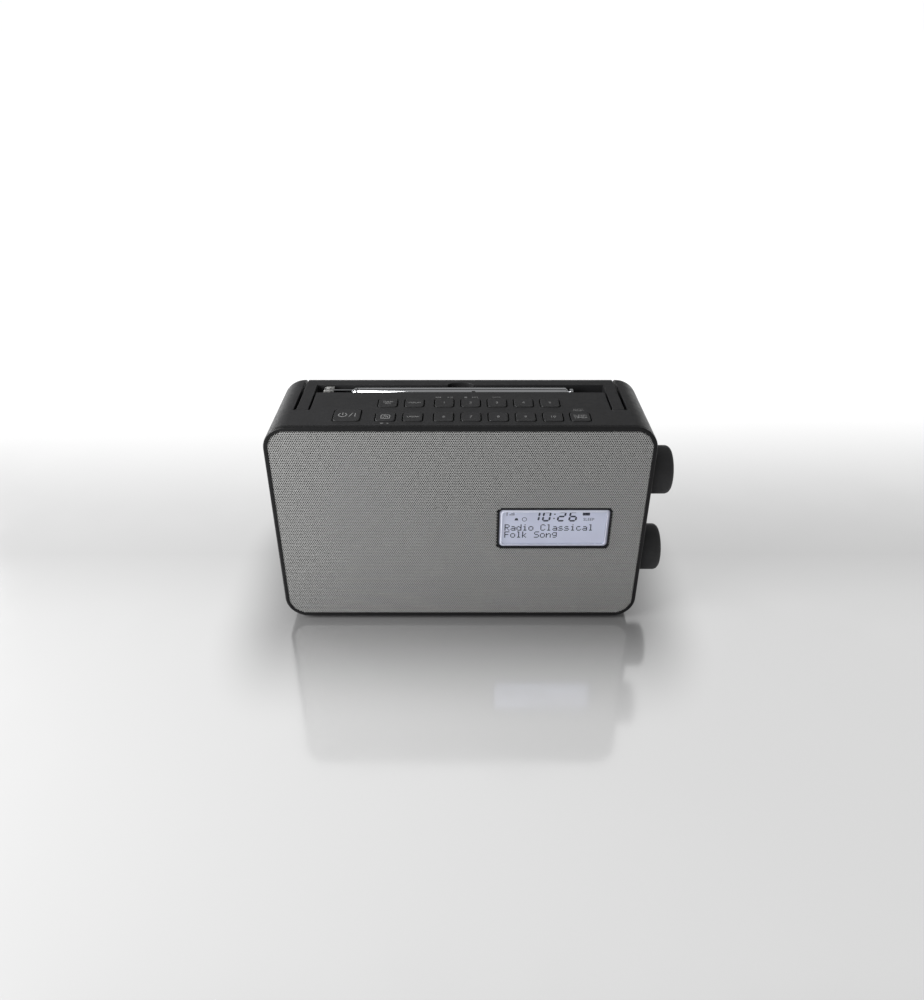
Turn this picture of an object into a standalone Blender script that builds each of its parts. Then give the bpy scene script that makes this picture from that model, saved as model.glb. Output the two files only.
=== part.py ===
"""A tabletop radio with a fold-down carrying handle and a telescopic aerial, as separate solids.

Metres, +Z up, the front faces -Y. The solids are laid out in the cabinet's own coordinates: x from the
cabinet's middle line, y back from its front face, z up from its underside. The empty "radio" carries them
into the world, where the origin is the middle of the object's bounding box, on the table.
"""

import math

import bmesh
import bpy
from mathutils import Matrix, Vector

# ---------------------------------------------------------------- driving dimensions
BODY_W = 0.257
BODY_D = 0.088
BODY_H = 0.156
CORNER_R = 0.016
WALL = 0.003
GAP = 0.0003
FOOT_H = 0.003
FOOT_R = 0.0060
FOOT_TIP_R = 0.0052
FOOT_CHAMFER = 0.0008
FOOT_SUNK = 0.0010
FOOT_CLEAR = 0.0004
FOOT_X = 0.105
FOOT_Y = (0.016, 0.066)
MID_Z = BODY_H / 2

# How far a cutter goes past the surface that it opens, and how far two joined shapes run into each other
PAST = 0.002
OVERLAP = 0.0005

# Front frame, grille and display
FRAME_D = 0.003
BEZEL_W = 0.0027
GRILLE_BACK = 0.0013
GRILLE_T = 0.0009
BAFFLE_FRONT = 0.0026
BAFFLE_BACK = 0.0056
BAFFLE_CLEAR = 0.0004
BAFFLE_OVERLAP = 0.0002
DISPLAY_X = 0.0648
DISPLAY_W = 0.0786
DISPLAY_H = 0.0333
DISPLAY_R = 0.0034
RIM_W = 0.0009
LEDGE_W = 0.0013
LENS_BACK = 0.0030
LENS_R = 0.0022
LENS_BEVEL = 0.0009
FRAME_EDGE = 0.0010
LCD_FRONT = 0.0062
LCD_T = 0.0024
LCD_MARGIN = 0.0010
LCD_R = 0.0005
LCD_POCKET_R = 0.0008
HOLDER_W = DISPLAY_W + 0.0080
HOLDER_H = DISPLAY_H + 0.0100
HOLDER_R = 0.0020
HOLDER_T = 0.0040

# Speaker
SPEAKER_X = -0.060
SPEAKER_R = 0.050
SPEAKER_HOLE_R = 0.044
MAGNET_R = 0.029
MAGNET_FRONT = 0.0300
MAGNET_BACK = 0.0465
MAGNET_STEP = 0.0020
MAGNET_GROOVE = 0.0030
POLE_R = 0.0095
COIL_GAP_R = 0.0140
COIL_GAP_L = 0.0135

# Keys, in two rows on the top
KEY_PITCH = 0.01795
KEY_HOLE = 0.0138
KEY_GAP = 0.0005
KEY_R = 0.0018
KEY_PROUD = 0.0007
KEY_FOOT = 0.1500
KEY_CHAMFER = 0.0005
KEY_OPENING_LOW = 0.1515
POWER_KEY_R = KEY_R + 0.0007
KEY_BOARD_LOW = (-0.0860, 0.0070, 0.1459)
KEY_BOARD_HIGH = (0.0880, 0.0490, 0.1474)
SWITCH_HALF = 0.0030
SWITCH_TOP = 0.1487
KEY_FIRST_X = -0.0110
KEY_FRONT_Y = 0.0155
KEY_BACK_Y = 0.0375
FUNCTION_X = (-0.0493, -0.0313)
POWER_CENTRE = (-0.0747, 0.0182)
POWER_HOLE = (0.0186, 0.0190)

# Knobs on the right side
KNOB_R = 0.0170
KNOB_Y = 0.026
KNOB_SPREAD = 0.0327
KNOB_REACH = 0.0167
KNOB_CLEAR = 0.0008
KNOB_SKIRT = 0.0022
KNOB_FACE_T = 0.0035
KNOB_DISH = 0.0005
HUB_START_X = 0.1322
HUB_BORE_END_X = 0.1392
KNOB_HUB_R = 0.0060
SHAFT_R = 0.0030
SHAFT_X = (0.1150, 0.1386)
BUSHING_R = 0.0045
BUSHING_END_X = 0.1312
CONTROL_R = 0.0100
CONTROL_BORE_R = 0.0033
CONTROL_X = (0.1165, 0.1240)
CASING_X = (0.1085, 0.1180)
CASING_HALF = 0.0080
SOCKET_X = (0.1140, 0.1250)

# Handle, folded into the top and the rear edge
ARM_IN_X = 0.1021
ARM_OUT_X = 0.1099
SLOT_IN_X = 0.1007
SLOT_OUT_X = 0.1119
PIVOT_Y = 0.036
PIVOT_Z = 0.147
HUB_R = 0.0124
PIN_R = 0.0025
PIN_X = (0.0984, 0.1141)
PIN_HOLE_X = (0.0975, 0.1152)
HUB_CLEAR = 0.0005
HANDLE_LOW_Z = 0.1443
BAR_FRONT_Y = 0.0685
NOTCH_HALF_W = 0.009
NOTCH_DEPTH = 0.0044

# Well in the top that holds the handle and the aerial
WELL_WALL = 0.0026
WELL_FRONT_Y = 0.0553
WELL_FLOOR_Z = 0.142
CLIP_X = (0.0080, 0.0105)
CLIP_END_Y = 0.0597
CLIP_Z = (0.1500, 0.1552)

# Aerial
ROD_Y = 0.0635
ROD_Z = 0.1525
HINGE_X = -0.0926
TONGUE_END_X = -0.0770
TUBE_START_X = -0.0727
TUBE_END_X = 0.0750
TUBE_WALL = 0.00035
TUBE_RADII = (0.00340, 0.00275, 0.00210, 0.00145)
TUBE_SETBACK = 0.0110
ROD_R = 0.0007
TIP_R = 0.0026
TIP_L = 0.0028
TIP_NECK = 0.0024
TIP_ROUND = 0.0008
TUBE_STEP_IN = 0.0020
TUBE_STEP_OUT = 0.0006
FORK_HALF_Y = 0.0032
FORK_FRONT_X = HINGE_X - 0.0046
FORK_BACK_X = HINGE_X + 0.0030
FORK_ROUND = 0.0025
FORK_LOW_Z = ROD_Z - 0.0075
FORK_TOP_Z = ROD_Z + 0.0030
FORK_SLOT_HALF_Y = 0.0014
FORK_SLOT_REACH = 0.0031
POST_R = 0.0034
POST_HOLE_R = 0.0038
POST_LOW_Z = 0.1362
POST_HOLE_Z = (0.1300, 0.1440)
HINGE_PIN_R = 0.0009
HINGE_BORE_R = 0.0012
HINGE_PIN_INSET = 0.0008
TONGUE_HALF_Y = 0.0011
TONGUE_HALF_Z = 0.0021
EYE_R = 0.0024
CONE_START_R = 0.0018
PLUG_L = 0.0060

# Shell split, rear cover and battery bay
SHELL_FRONT = FRAME_D + GAP
SHELL_REAR = 0.0805
SHELL_DEPTHS = (SHELL_FRONT, 0.075, 0.0778, SHELL_REAR)
COVER_DEPTHS = (SHELL_REAR + GAP, 0.0835, 0.0857, 0.0872, BODY_D)
COVER_FRONT = SHELL_REAR + GAP
COVER_INNER = 0.0852
COVER_HOLLOW_INSETS = (0.0042, 0.0080)
COVER_HOLLOW_R = 0.008
COVER_HOLLOW_FRONT = COVER_FRONT - 0.0010
REAR_ROUND = 0.013
LEAST_CORNER_R = 0.004
SCREW_X = 0.1095
SCREW_Z = (0.0165, 0.1200)
SCREW_R = 0.0014
SCREW_TIP_Y = 0.0620
SCREW_HEAD_R = 0.0030
SCREW_CROWN_R = 0.0027
SCREW_HEAD_Y = (0.0838, 0.0858)
POST_START_Y = 0.040
SCREW_POST_R = 0.0040
SCREW_PILOT_R = 0.0017
SCREW_PILOT_Y = 0.055
RIB_HALF_T = 0.0015
TUNNEL_R = 0.0047
TUNNEL_BORE_R = 0.0018
TUNNEL_SEAT_R = 0.0034
TUNNEL_SEAT_Y = 0.0835
TUNNEL_BACK_Y = 0.0878
TUNNEL_OPENING_R = 0.0040
VENT_COUNT = 13
VENT_FIRST_X = 0.0330
VENT_PITCH = 0.0050
VENT_Z = 0.1060
VENT_SIZE = (0.0020, 0.0150)
VENT_R = 0.00095
BAY_HALF_W = 0.0585
BAY_Z = (0.0145, 0.0815)
BAY_FRONT_Y = 0.054
BAY_WALL = 0.002
BAY_BACK_Y = 0.0849
DOOR_T = 0.0025
DOOR_GAP = 0.0005
DOOR_HINGE = (0.0872, 0.0159)
CONTACT_T = 0.0006
CONTACT_HALF_Y = 0.010
CONTACT_MARGIN_Z = 0.004
SPRING_R = (0.0060, 0.0035)
SPRING_L = 0.0055
INLET_CENTRE = (-0.0920, 0.0340)
INLET_BODY = (0.0190, 0.0110)
INLET_BODY_R = 0.0020
INLET_Y = (0.0700, 0.0877)
INLET_FLANGE = (0.0240, 0.0150)
INLET_FLANGE_Y = 0.0820
INLET_SOCKET_HALF = (0.0081, 0.0042)
INLET_SOCKET_Y = 0.0745
INLET_PIN_R = 0.0012
INLET_PIN_X = 0.0043
INLET_PIN_Y = (0.0730, 0.0860)
JACK_X = -0.0920
JACK_Z = (0.0640, 0.0790)
JACK_R = 0.0040
JACK_BODY_R = 0.0050
JACK_BORE_R = 0.0018
JACK_Y = (0.0720, 0.0878)
JACK_BORE_Y = 0.0740

# Boards and transformer, as the lower and upper corner of each block
MAIN_BOARD = ((0.0120, 0.0180, 0.0140), (0.1040, 0.0196, 0.1320))
BOARD_PARTS = (
    ((0.0300, 0.0190, 0.0900), (0.0620, 0.0240, 0.1200)),
    ((0.0700, 0.0190, 0.0950), (0.0860, 0.0215, 0.1110)),
    ((0.0250, 0.0190, 0.0300), (0.0450, 0.0330, 0.0450)),
    ((0.0600, 0.0190, 0.0250), (0.0760, 0.0290, 0.0330)),
)
CAPACITOR_CENTRES = ((0.090, 0.040), (0.090, 0.056), (0.052, 0.060))
CAPACITOR_R = 0.0050
CAPACITOR_Y = (0.0190, 0.0320)
TRANSFORMER_CORE = ((0.0700, 0.0550, 0.0090), (0.1000, 0.0750, 0.0400))
TRANSFORMER_WINDING = ((0.0740, 0.0500, 0.0150), (0.0960, 0.0790, 0.0340))

SIDE_X = BODY_W / 2
REACH_X = SIDE_X + KNOB_REACH
ROUND_STEPS = 32


# ---------------------------------------------------------------- scene and materials
def clear_scene():
    for obj in list(bpy.data.objects):
        bpy.data.objects.remove(obj)


def make_material(name, colour, roughness, metallic=0.0):
    material = bpy.data.materials.new(name)
    material.use_nodes = True
    shader = material.node_tree.nodes["Principled BSDF"]
    shader.inputs["Base Color"].default_value = (*colour, 1.0)
    shader.inputs["Roughness"].default_value = roughness
    shader.inputs["Metallic"].default_value = metallic
    return material


def make_empty(name, location, parent=None):
    empty = bpy.data.objects.new(name, None)
    empty.location = location
    empty.parent = parent
    bpy.context.scene.collection.objects.link(empty)
    return empty


# ---------------------------------------------------------------- outlines
def rounded_rect(width, height, radius, centre=(0.0, 0.0), steps=6):
    """The points of a rounded rectangle, anticlockwise, each corner an arc."""
    points = []
    for quarter, (side, level) in enumerate([(1, -1), (1, 1), (-1, 1), (-1, -1)]):
        corner_x = centre[0] + side * (width / 2 - radius)
        corner_y = centre[1] + level * (height / 2 - radius)
        for step in range(steps + 1):
            angle = math.radians(90) * (quarter - 1 + step / steps)
            points.append((corner_x + radius * math.cos(angle), corner_y + radius * math.sin(angle)))
    return points


def rectangle(low, high):
    return [(low[0], low[1]), (high[0], low[1]), (high[0], high[1]), (low[0], high[1])]


def arc(centre, radius, start, end, steps):
    """Points along an arc, with its angles in degrees."""
    points = []
    for step in range(steps + 1):
        angle = math.radians(start + (end - start) * step / steps)
        points.append((centre[0] + radius * math.cos(angle), centre[1] + radius * math.sin(angle)))
    return points


# ---------------------------------------------------------------- meshes
def place(axis, u, v, along):
    """The point whose outline coordinates are u, v, on the plane at this distance along an axis."""
    return {"X": (along, u, v), "Y": (u, along, v), "Z": (u, v, along)}[axis]


def close_normals(bm):
    bmesh.ops.recalc_face_normals(bm, faces=bm.faces)
    return bm


def prism(outline, low, high, axis, bm=None):
    """An outline extruded from low to high along an axis, added to a mesh or as a new one."""
    bm = bm or bmesh.new()
    corners = [bm.verts.new(place(axis, u, v, low)) for u, v in outline]
    face = bm.faces.new(corners)
    pushed = bmesh.ops.extrude_face_region(bm, geom=[face], use_keep_orig=True)["geom"]
    moved = [item for item in pushed if isinstance(item, bmesh.types.BMVert)]
    bmesh.ops.translate(bm, verts=moved, vec=Vector(place(axis, 0, 0, high - low)))
    return close_normals(bm)


def block(low, high, bm=None):
    """A box between two corners."""
    return prism(rectangle(low[:2], high[:2]), low[2], high[2], "Z", bm)


def loft(sections, bm=None):
    """A closed body through sections of the same number of points, capped at both ends."""
    bm = bm or bmesh.new()
    rings = [[bm.verts.new(point) for point in section] for section in sections]
    for ring, after in zip(rings, rings[1:]):
        for i in range(len(ring)):
            j = (i + 1) % len(ring)
            bm.faces.new((ring[i], ring[j], after[j], after[i]))
    bm.faces.new(rings[0])
    bm.faces.new(rings[-1])
    bmesh.ops.triangulate(bm, faces=bm.faces)
    return close_normals(bm)


def turned(profile, axis, centre, steps=ROUND_STEPS, bm=None):
    """A profile of (radius, distance along the axis) points turned all the way round that axis.

    A profile that starts and ends on the axis is closed by itself, and any other is a ring.
    """
    bm = bm or bmesh.new()
    u, v = centre
    points = [bm.verts.new(place(axis, u + radius, v, along)) for radius, along in profile]
    edges = [bm.edges.new(pair) for pair in zip(points, points[1:])]
    if profile[0][0] > 0:
        edges.append(bm.edges.new((points[-1], points[0])))
    bmesh.ops.spin(
        bm, geom=points + edges, cent=place(axis, u, v, 0), axis=Vector(place(axis, 0, 0, 1)),
        angle=math.tau, steps=steps, use_merge=True,
    )
    bmesh.ops.remove_doubles(bm, verts=bm.verts, dist=1e-6)
    return close_normals(bm)


def make_object(name, bm, material=None, origin=(0, 0, 0), smooth_angle=35):
    """An object from a mesh in cabinet coordinates, with its own origin at the point given."""
    bmesh.ops.translate(bm, verts=bm.verts, vec=-Vector(origin))
    mesh = bpy.data.meshes.new(name)
    bm.to_mesh(mesh)
    bm.free()
    obj = bpy.data.objects.new(name, mesh)
    obj.location = origin
    obj.parent = ROOT
    bpy.context.scene.collection.objects.link(obj)
    if material:
        mesh.materials.append(material)
        mesh.shade_smooth()
        mesh.set_sharp_from_angle(angle=math.radians(smooth_angle))
    return obj


def boolean(target, bm, operation, name):
    """Cuts or joins a helper shape. The helper stays in the scene as a hidden wire object."""
    helper = make_object(name, bm)
    helper.hide_render = True
    helper.display_type = "WIRE"
    modifier = target.modifiers.new(name, "BOOLEAN")
    modifier.operation = operation
    modifier.object = helper
    return helper


def cut(target, bm, name):
    return boolean(target, bm, "DIFFERENCE", name)


def join(target, bm, name):
    return boolean(target, bm, "UNION", name)


# ---------------------------------------------------------------- cabinet
def body_outline(inset, steps=6):
    """The cabinet's rounded outline in x and z, drawn in by an inset."""
    radius = CORNER_R - inset
    return rounded_rect(BODY_W - 2 * inset, BODY_H - 2 * inset, radius, (0, MID_Z), steps)


def body_sections(depths):
    """The cabinet's outline at each of these depths, drawn in where the rear edge is rounded."""
    sections = []
    for y in depths:
        past = max(0.0, y - (BODY_D - REAR_ROUND))
        inset = REAR_ROUND - math.sqrt(REAR_ROUND**2 - past**2)
        radius = max(CORNER_R - inset, LEAST_CORNER_R)
        outline = rounded_rect(BODY_W - 2 * inset, BODY_H - 2 * inset, radius, (0, MID_Z))
        sections.append([(x, y, z) for x, z in outline])
    return sections


def arm_well_outline(margin):
    """The side view of one arm's pocket, in y and z: a round front end and a straight channel to the rear."""
    radius = HUB_R + HUB_CLEAR + margin
    floor = WELL_FLOOR_Z - margin
    start = math.degrees(math.asin((floor - PIVOT_Z) / radius)) % 360
    rounded = arc((PIVOT_Y, PIVOT_Z), radius, 90, start, 16)
    top = PIVOT_Z + 1.5 * radius
    return [(PIVOT_Y, top), *rounded, (BODY_D + 2 * PAST, floor), (BODY_D + 2 * PAST, top)]


def cylinder(radius, ends, axis, centre, steps=ROUND_STEPS, bm=None):
    """A plain cylinder between two distances along an axis, in either order."""
    start, end = sorted(ends)
    return turned([(0, start), (radius, start), (radius, end), (0, end)], axis, centre, steps, bm)


def key_centres():
    """Every square key's name and centre."""
    keys = [
        ("key_band", FUNCTION_X[0], KEY_BACK_Y),
        ("key_menu", FUNCTION_X[1], KEY_BACK_Y),
        ("key_source", FUNCTION_X[0], KEY_FRONT_Y),
        ("key_tune", FUNCTION_X[1], KEY_FRONT_Y),
        ("key_sleep", KEY_FIRST_X + 5 * KEY_PITCH, KEY_FRONT_Y),
    ]
    for number in range(10):
        row_y = KEY_BACK_Y if number < 5 else KEY_FRONT_Y
        keys.append((f"key_preset_{number + 1:02d}", KEY_FIRST_X + (number % 5) * KEY_PITCH, row_y))
    return keys


def knob_heights():
    return {"volume": MID_Z + KNOB_SPREAD, "tuning": MID_Z - KNOB_SPREAD}


def screw_places():
    return [(side * SCREW_X, z) for side in (-1, 1) for z in SCREW_Z]


def foot_places():
    front, rear = FOOT_Y
    return {
        "foot_front_left": (-FOOT_X, front),
        "foot_front_right": (FOOT_X, front),
        "foot_rear_left": (-FOOT_X, rear),
        "foot_rear_right": (FOOT_X, rear),
    }


def cabinet_shell():
    """The sleeve that makes the top, sides and underside, with wells for the handle and the aerial."""
    shell = make_object("cabinet_shell", loft(body_sections(SHELL_DEPTHS)), CHARCOAL)
    inside = prism(body_outline(WALL), SHELL_FRONT - PAST, SHELL_REAR + PAST, "Y")
    hollow = cut(shell, inside, "shell_hollow")
    walled_x = SLOT_OUT_X + WELL_WALL
    walls = block(
        (-walled_x, WELL_FRONT_Y - WELL_WALL, WELL_FLOOR_Z - WELL_WALL),
        (walled_x, SHELL_REAR + 2 * PAST, BODY_H + PAST),
    )
    cut(hollow, walls, "shell_hollow_rear_well")
    for side, sign in (("left", -1), ("right", 1)):
        inner, outer = sorted((sign * (SLOT_IN_X - WELL_WALL), sign * walled_x))
        cut(hollow, prism(arm_well_outline(WELL_WALL), inner, outer, "X"), f"shell_hollow_{side}_well")
    add_screw_posts(shell)
    # The rear well runs across between the arms, and widens to the slots behind the aerial.
    open_x = SLOT_IN_X + OVERLAP
    well = block((-open_x, WELL_FRONT_Y, WELL_FLOOR_Z), (open_x, BODY_D + PAST, BODY_H + PAST))
    cut(shell, well, "rear_well")
    for side, sign in (("left", -1), ("right", 1)):
        inner, outer = sorted((sign * SLOT_IN_X, sign * SLOT_OUT_X))
        cut(shell, prism(arm_well_outline(0), inner, outer, "X"), f"{side}_arm_well")
    cut_small_openings(shell)
    # The small tooth on the well's front edge that the aerial clicks behind.
    tooth = block((CLIP_X[0], WELL_FRONT_Y - 2 * OVERLAP, CLIP_Z[0]), (CLIP_X[1], CLIP_END_Y, CLIP_Z[1]))
    join(shell, tooth, "aerial_clip")


def cut_small_openings(shell):
    """The openings for the keys, the knobs' bushings, the handle's pins, the feet and the aerial's post."""
    openings = bmesh.new()
    for _, x, y in key_centres():
        outline = rounded_rect(KEY_HOLE, KEY_HOLE, KEY_R, (x, y), 2)
        prism(outline, KEY_OPENING_LOW, BODY_H + PAST, "Z", openings)
    outline = rounded_rect(*POWER_HOLE, POWER_KEY_R, POWER_CENTRE, 2)
    prism(outline, KEY_OPENING_LOW, BODY_H + PAST, "Z", openings)
    cut(shell, openings, "key_openings")
    bores = bmesh.new()
    for z in knob_heights().values():
        cylinder(BUSHING_R + GAP, (SIDE_X - WALL - PAST, SIDE_X + PAST), "X", (KNOB_Y, z), 16, bores)
    cut(shell, bores, "bushing_holes")
    pins = bmesh.new()
    for sign in (-1, 1):
        ends = [sign * end for end in PIN_HOLE_X]
        cylinder(PIN_R + GAP, ends, "X", (PIVOT_Y, PIVOT_Z), 16, pins)
    cut(shell, pins, "handle_pin_holes")
    feet_pockets = bmesh.new()
    for centre in foot_places().values():
        cylinder(FOOT_R + FOOT_CLEAR, (-PAST, FOOT_SUNK + GAP), "Z", centre, 16, feet_pockets)
    cut(shell, feet_pockets, "foot_pockets")
    post_hole = cylinder(POST_HOLE_R, POST_HOLE_Z, "Z", (HINGE_X, ROD_Y), 16)
    cut(shell, post_hole, "aerial_post_hole")


def add_screw_posts(shell):
    """Four bored posts for the rear screws, each on a rib to the nearest wall."""
    end = SHELL_REAR - GAP
    rib_start, rib_end = POST_START_Y + PAST, end - OVERLAP
    profile = [
        (0, POST_START_Y), (SCREW_POST_R, POST_START_Y), (SCREW_POST_R, end),
        (SCREW_PILOT_R, end), (SCREW_PILOT_R, SCREW_PILOT_Y), (0, SCREW_PILOT_Y),
    ]
    posts, ribs = bmesh.new(), bmesh.new()
    for x, z in screw_places():
        turned(profile, "Y", (x, z), 16, posts)
        if z < MID_Z:
            block((x - RIB_HALF_T, rib_start, WALL / 2), (x + RIB_HALF_T, rib_end, z - 2 * RIB_HALF_T), ribs)
        else:
            near_x = x + math.copysign(2 * RIB_HALF_T, x)
            wall_x = math.copysign(SIDE_X - WALL / 2, x)
            low_x, high_x = sorted((near_x, wall_x))
            block((low_x, rib_start, z - RIB_HALF_T), (high_x, rib_end, z + RIB_HALF_T), ribs)
    join(join(shell, posts, "screw_posts"), ribs, "screw_ribs")


def front_frame():
    """The black surround and the baffle behind the grille, in one moulding."""
    part_way = FRAME_EDGE * 0.3
    sections = []
    for inset, y in ((FRAME_EDGE, 0), (part_way, part_way), (0, FRAME_EDGE), (0, FRAME_D)):
        sections.append([(x, y, z) for x, z in body_outline(inset)])
    frame = make_object("front_frame", loft(sections), BLACK_GLOSS)
    baffle = prism(body_outline(WALL + BAFFLE_CLEAR), FRAME_D - BAFFLE_OVERLAP, BAFFLE_BACK, "Y")
    join(frame, baffle, "baffle")
    through = (-PAST, BAFFLE_BACK + PAST)
    cut(frame, cylinder(SPEAKER_HOLE_R, through, "Y", (SPEAKER_X, MID_Z)), "speaker_opening")
    centre = (DISPLAY_X, MID_Z)
    pocket = RIM_W + GAP
    ledge = pocket + LEDGE_W
    step_y = LENS_BACK + GAP
    cavity = []
    for inset, y in ((pocket, through[0]), (pocket, step_y), (ledge, step_y), (ledge, through[1])):
        outline = rounded_rect(DISPLAY_W - 2 * inset, DISPLAY_H - 2 * inset, DISPLAY_R - 0.6 * inset, centre)
        cavity.append([(x, y, z) for x, z in outline])
    cut(frame, loft(cavity), "display_cavity")
    # The grille's recess leaves the display's thin rim standing.
    recess = cut(frame, prism(body_outline(BEZEL_W), -PAST, BAFFLE_FRONT, "Y"), "grille_recess")
    rim = rounded_rect(DISPLAY_W - 2 * GAP, DISPLAY_H - 2 * GAP, DISPLAY_R - GAP, centre)
    cut(recess, prism(rim, -2 * PAST, BAFFLE_FRONT + PAST, "Y"), "display_rim")


def front_grille():
    """The sheet metal grille, here without its perforations, with the display's opening."""
    sheet = body_outline(BEZEL_W + GAP)
    grille = make_object("front_grille", prism(sheet, GRILLE_BACK - GRILLE_T, GRILLE_BACK, "Y"), GRILLE)
    opening = rounded_rect(DISPLAY_W, DISPLAY_H, DISPLAY_R, (DISPLAY_X, MID_Z))
    cut(grille, prism(opening, -PAST, GRILLE_BACK + PAST, "Y"), "grille_display_opening")


def display_outline(margin, radius, steps=6):
    """The display's outline, grown by a margin or drawn in by a negative one."""
    return rounded_rect(DISPLAY_W + 2 * margin, DISPLAY_H + 2 * margin, radius, (DISPLAY_X, MID_Z), steps)


def display_parts():
    """The clear lens, the LCD glass and the holder with its back light."""
    margin = RIM_W + 2 * GAP
    sections = []
    for inset, y in ((LENS_BEVEL, 0.0), (0, LENS_BEVEL), (0, LENS_BACK)):
        outline = display_outline(-margin - inset, LENS_R - inset / 2)
        sections.append([(x, y, z) for x, z in outline])
    make_object("display_window", loft(sections), CLEAR)
    glass = display_outline(LCD_MARGIN, LCD_R, 2)
    make_object("lcd_panel", prism(glass, LCD_FRONT, LCD_FRONT + LCD_T, "Y"), LCD)
    pocket_back = LCD_FRONT + LCD_T + GAP
    outline = rounded_rect(HOLDER_W, HOLDER_H, HOLDER_R, (DISPLAY_X, MID_Z), 3)
    holder = make_object("lcd_holder", prism(outline, LCD_FRONT, pocket_back + HOLDER_T, "Y"), WHITE_PLASTIC)
    pocket = display_outline(LCD_MARGIN + GAP, LCD_POCKET_R, 2)
    cut(holder, prism(pocket, LCD_FRONT - PAST, pocket_back, "Y"), "lcd_pocket")


def keys():
    """The sixteen keys: square ones in two rows, and the larger power key."""
    top = BODY_H + KEY_PROUD
    for name, x, y in [*key_centres(), ("key_power", *POWER_CENTRE)]:
        is_power = name == "key_power"
        hole = POWER_HOLE if is_power else (KEY_HOLE, KEY_HOLE)
        radius = (POWER_KEY_R if is_power else KEY_R) - KEY_GAP
        sections = []
        for inset, z in ((0, KEY_FOOT), (0, top - KEY_CHAMFER), (KEY_CHAMFER, top)):
            size = [side - 2 * (KEY_GAP + inset) for side in hole]
            outline = rounded_rect(*size, radius - inset / 2, (x, y), 2)
            sections.append([(px, py, z) for px, py in outline])
        make_object(name, loft(sections), KEY_PLASTIC, (x, y, KEY_FOOT))


def key_board():
    """The circuit board under the keys, with a press switch below each."""
    board = make_object("key_board", block(KEY_BOARD_LOW, KEY_BOARD_HIGH), BOARD)
    low_z = KEY_BOARD_HIGH[2] - 2 * OVERLAP
    switches = bmesh.new()
    for _, x, y in [*key_centres(), ("key_power", *POWER_CENTRE)]:
        low = (x - SWITCH_HALF, y - SWITCH_HALF, low_z)
        block(low, (x + SWITCH_HALF, y + SWITCH_HALF, SWITCH_TOP), switches)
    join(board, switches, "press_switches")


def knobs():
    """The volume and tuning knobs, each on its shaft, with the control that the shaft turns."""
    back, end = SIDE_X + KNOB_CLEAR, REACH_X
    cap = end - KNOB_FACE_T
    skirt_r, bore_r = KNOB_R - KNOB_SKIRT, SHAFT_R + GAP
    knob_profile = [
        (0, HUB_BORE_END_X), (bore_r, HUB_BORE_END_X), (bore_r, HUB_START_X), (KNOB_HUB_R, HUB_START_X),
        (KNOB_HUB_R, cap), (skirt_r, cap), (skirt_r, back), (KNOB_R, back), (KNOB_R, end - 0.0022),
        (KNOB_R - 0.0006, end - 0.0008), (KNOB_R - 0.0022, end), (KNOB_R - 0.0042, end - KNOB_DISH),
        (0, end - KNOB_DISH),
    ]
    control_profile = [
        (CONTROL_BORE_R, CONTROL_X[0]), (CONTROL_R, CONTROL_X[0]), (CONTROL_R, CONTROL_X[1]),
        (BUSHING_R, CONTROL_X[1]), (BUSHING_R, BUSHING_END_X), (CONTROL_BORE_R, BUSHING_END_X),
    ]
    for name, z in knob_heights().items():
        centre = (KNOB_Y, z)
        make_object(f"{name}_knob", turned(knob_profile, "X", centre), KNOB, (back, *centre))
        shaft = cylinder(SHAFT_R, SHAFT_X, "X", centre, 24)
        make_object(f"{name}_shaft", shaft, STEEL, (SHAFT_X[0], *centre))
        control = make_object(f"{name}_control", turned(control_profile, "X", centre, 24), STEEL)
        casing = block(
            (CASING_X[0], KNOB_Y - CASING_HALF, z - CASING_HALF),
            (CASING_X[1], KNOB_Y + CASING_HALF, z + CASING_HALF),
        )
        join(control, casing, f"{name}_control_casing")
        cut(control, cylinder(bore_r, SOCKET_X, "X", centre, 24), f"{name}_control_socket")


# ---------------------------------------------------------------- handle
def handle():
    """The U-shaped handle, with a round hub at the front end of each arm, and the pins it swings on."""
    top = BODY_H
    chord = math.degrees(math.asin((top - PIVOT_Z) / HUB_R))
    foot = math.degrees(math.asin((HANDLE_LOW_Z - PIVOT_Z) / HUB_R))
    hub = arc((PIVOT_Y, PIVOT_Z), HUB_R, 180 - chord, 360 + foot, 18)
    rear_start = math.degrees(math.asin((HANDLE_LOW_Z - top + REAR_ROUND) / REAR_ROUND))
    rear = arc((BODY_D - REAR_ROUND, top - REAR_ROUND), REAR_ROUND, rear_start, 90, 7)
    pivot = (PIVOT_Y, PIVOT_Z)
    body = make_object("handle", prism([*hub, *rear], -ARM_OUT_X, ARM_OUT_X, "X"), CHARCOAL, (0, *pivot))
    notch = []
    for step in range(17):
        angle = math.pi * step / 16
        notch.append((NOTCH_HALF_W * math.cos(angle), BAR_FRONT_Y + NOTCH_DEPTH * math.sin(angle)))
    front_y = PIVOT_Y - 2 * HUB_R
    inner_corners = (ARM_IN_X, BAR_FRONT_Y), *notch, (-ARM_IN_X, BAR_FRONT_Y)
    between = [(ARM_IN_X, front_y), *inner_corners, (-ARM_IN_X, front_y)]
    below, above = PIVOT_Z - 2 * HUB_R, PIVOT_Z + 2 * HUB_R
    cut(body, prism(between, below, above, "Z"), "space_between_arms")
    cut(body, cylinder(PIN_R + GAP, (-SIDE_X, SIDE_X), "X", pivot, 20), "handle_bore")
    for side, sign in (("left", -1), ("right", 1)):
        ends = [sign * end for end in PIN_X]
        make_object(f"handle_pin_{side}", cylinder(PIN_R, ends, "X", pivot, 20), STEEL)


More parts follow.
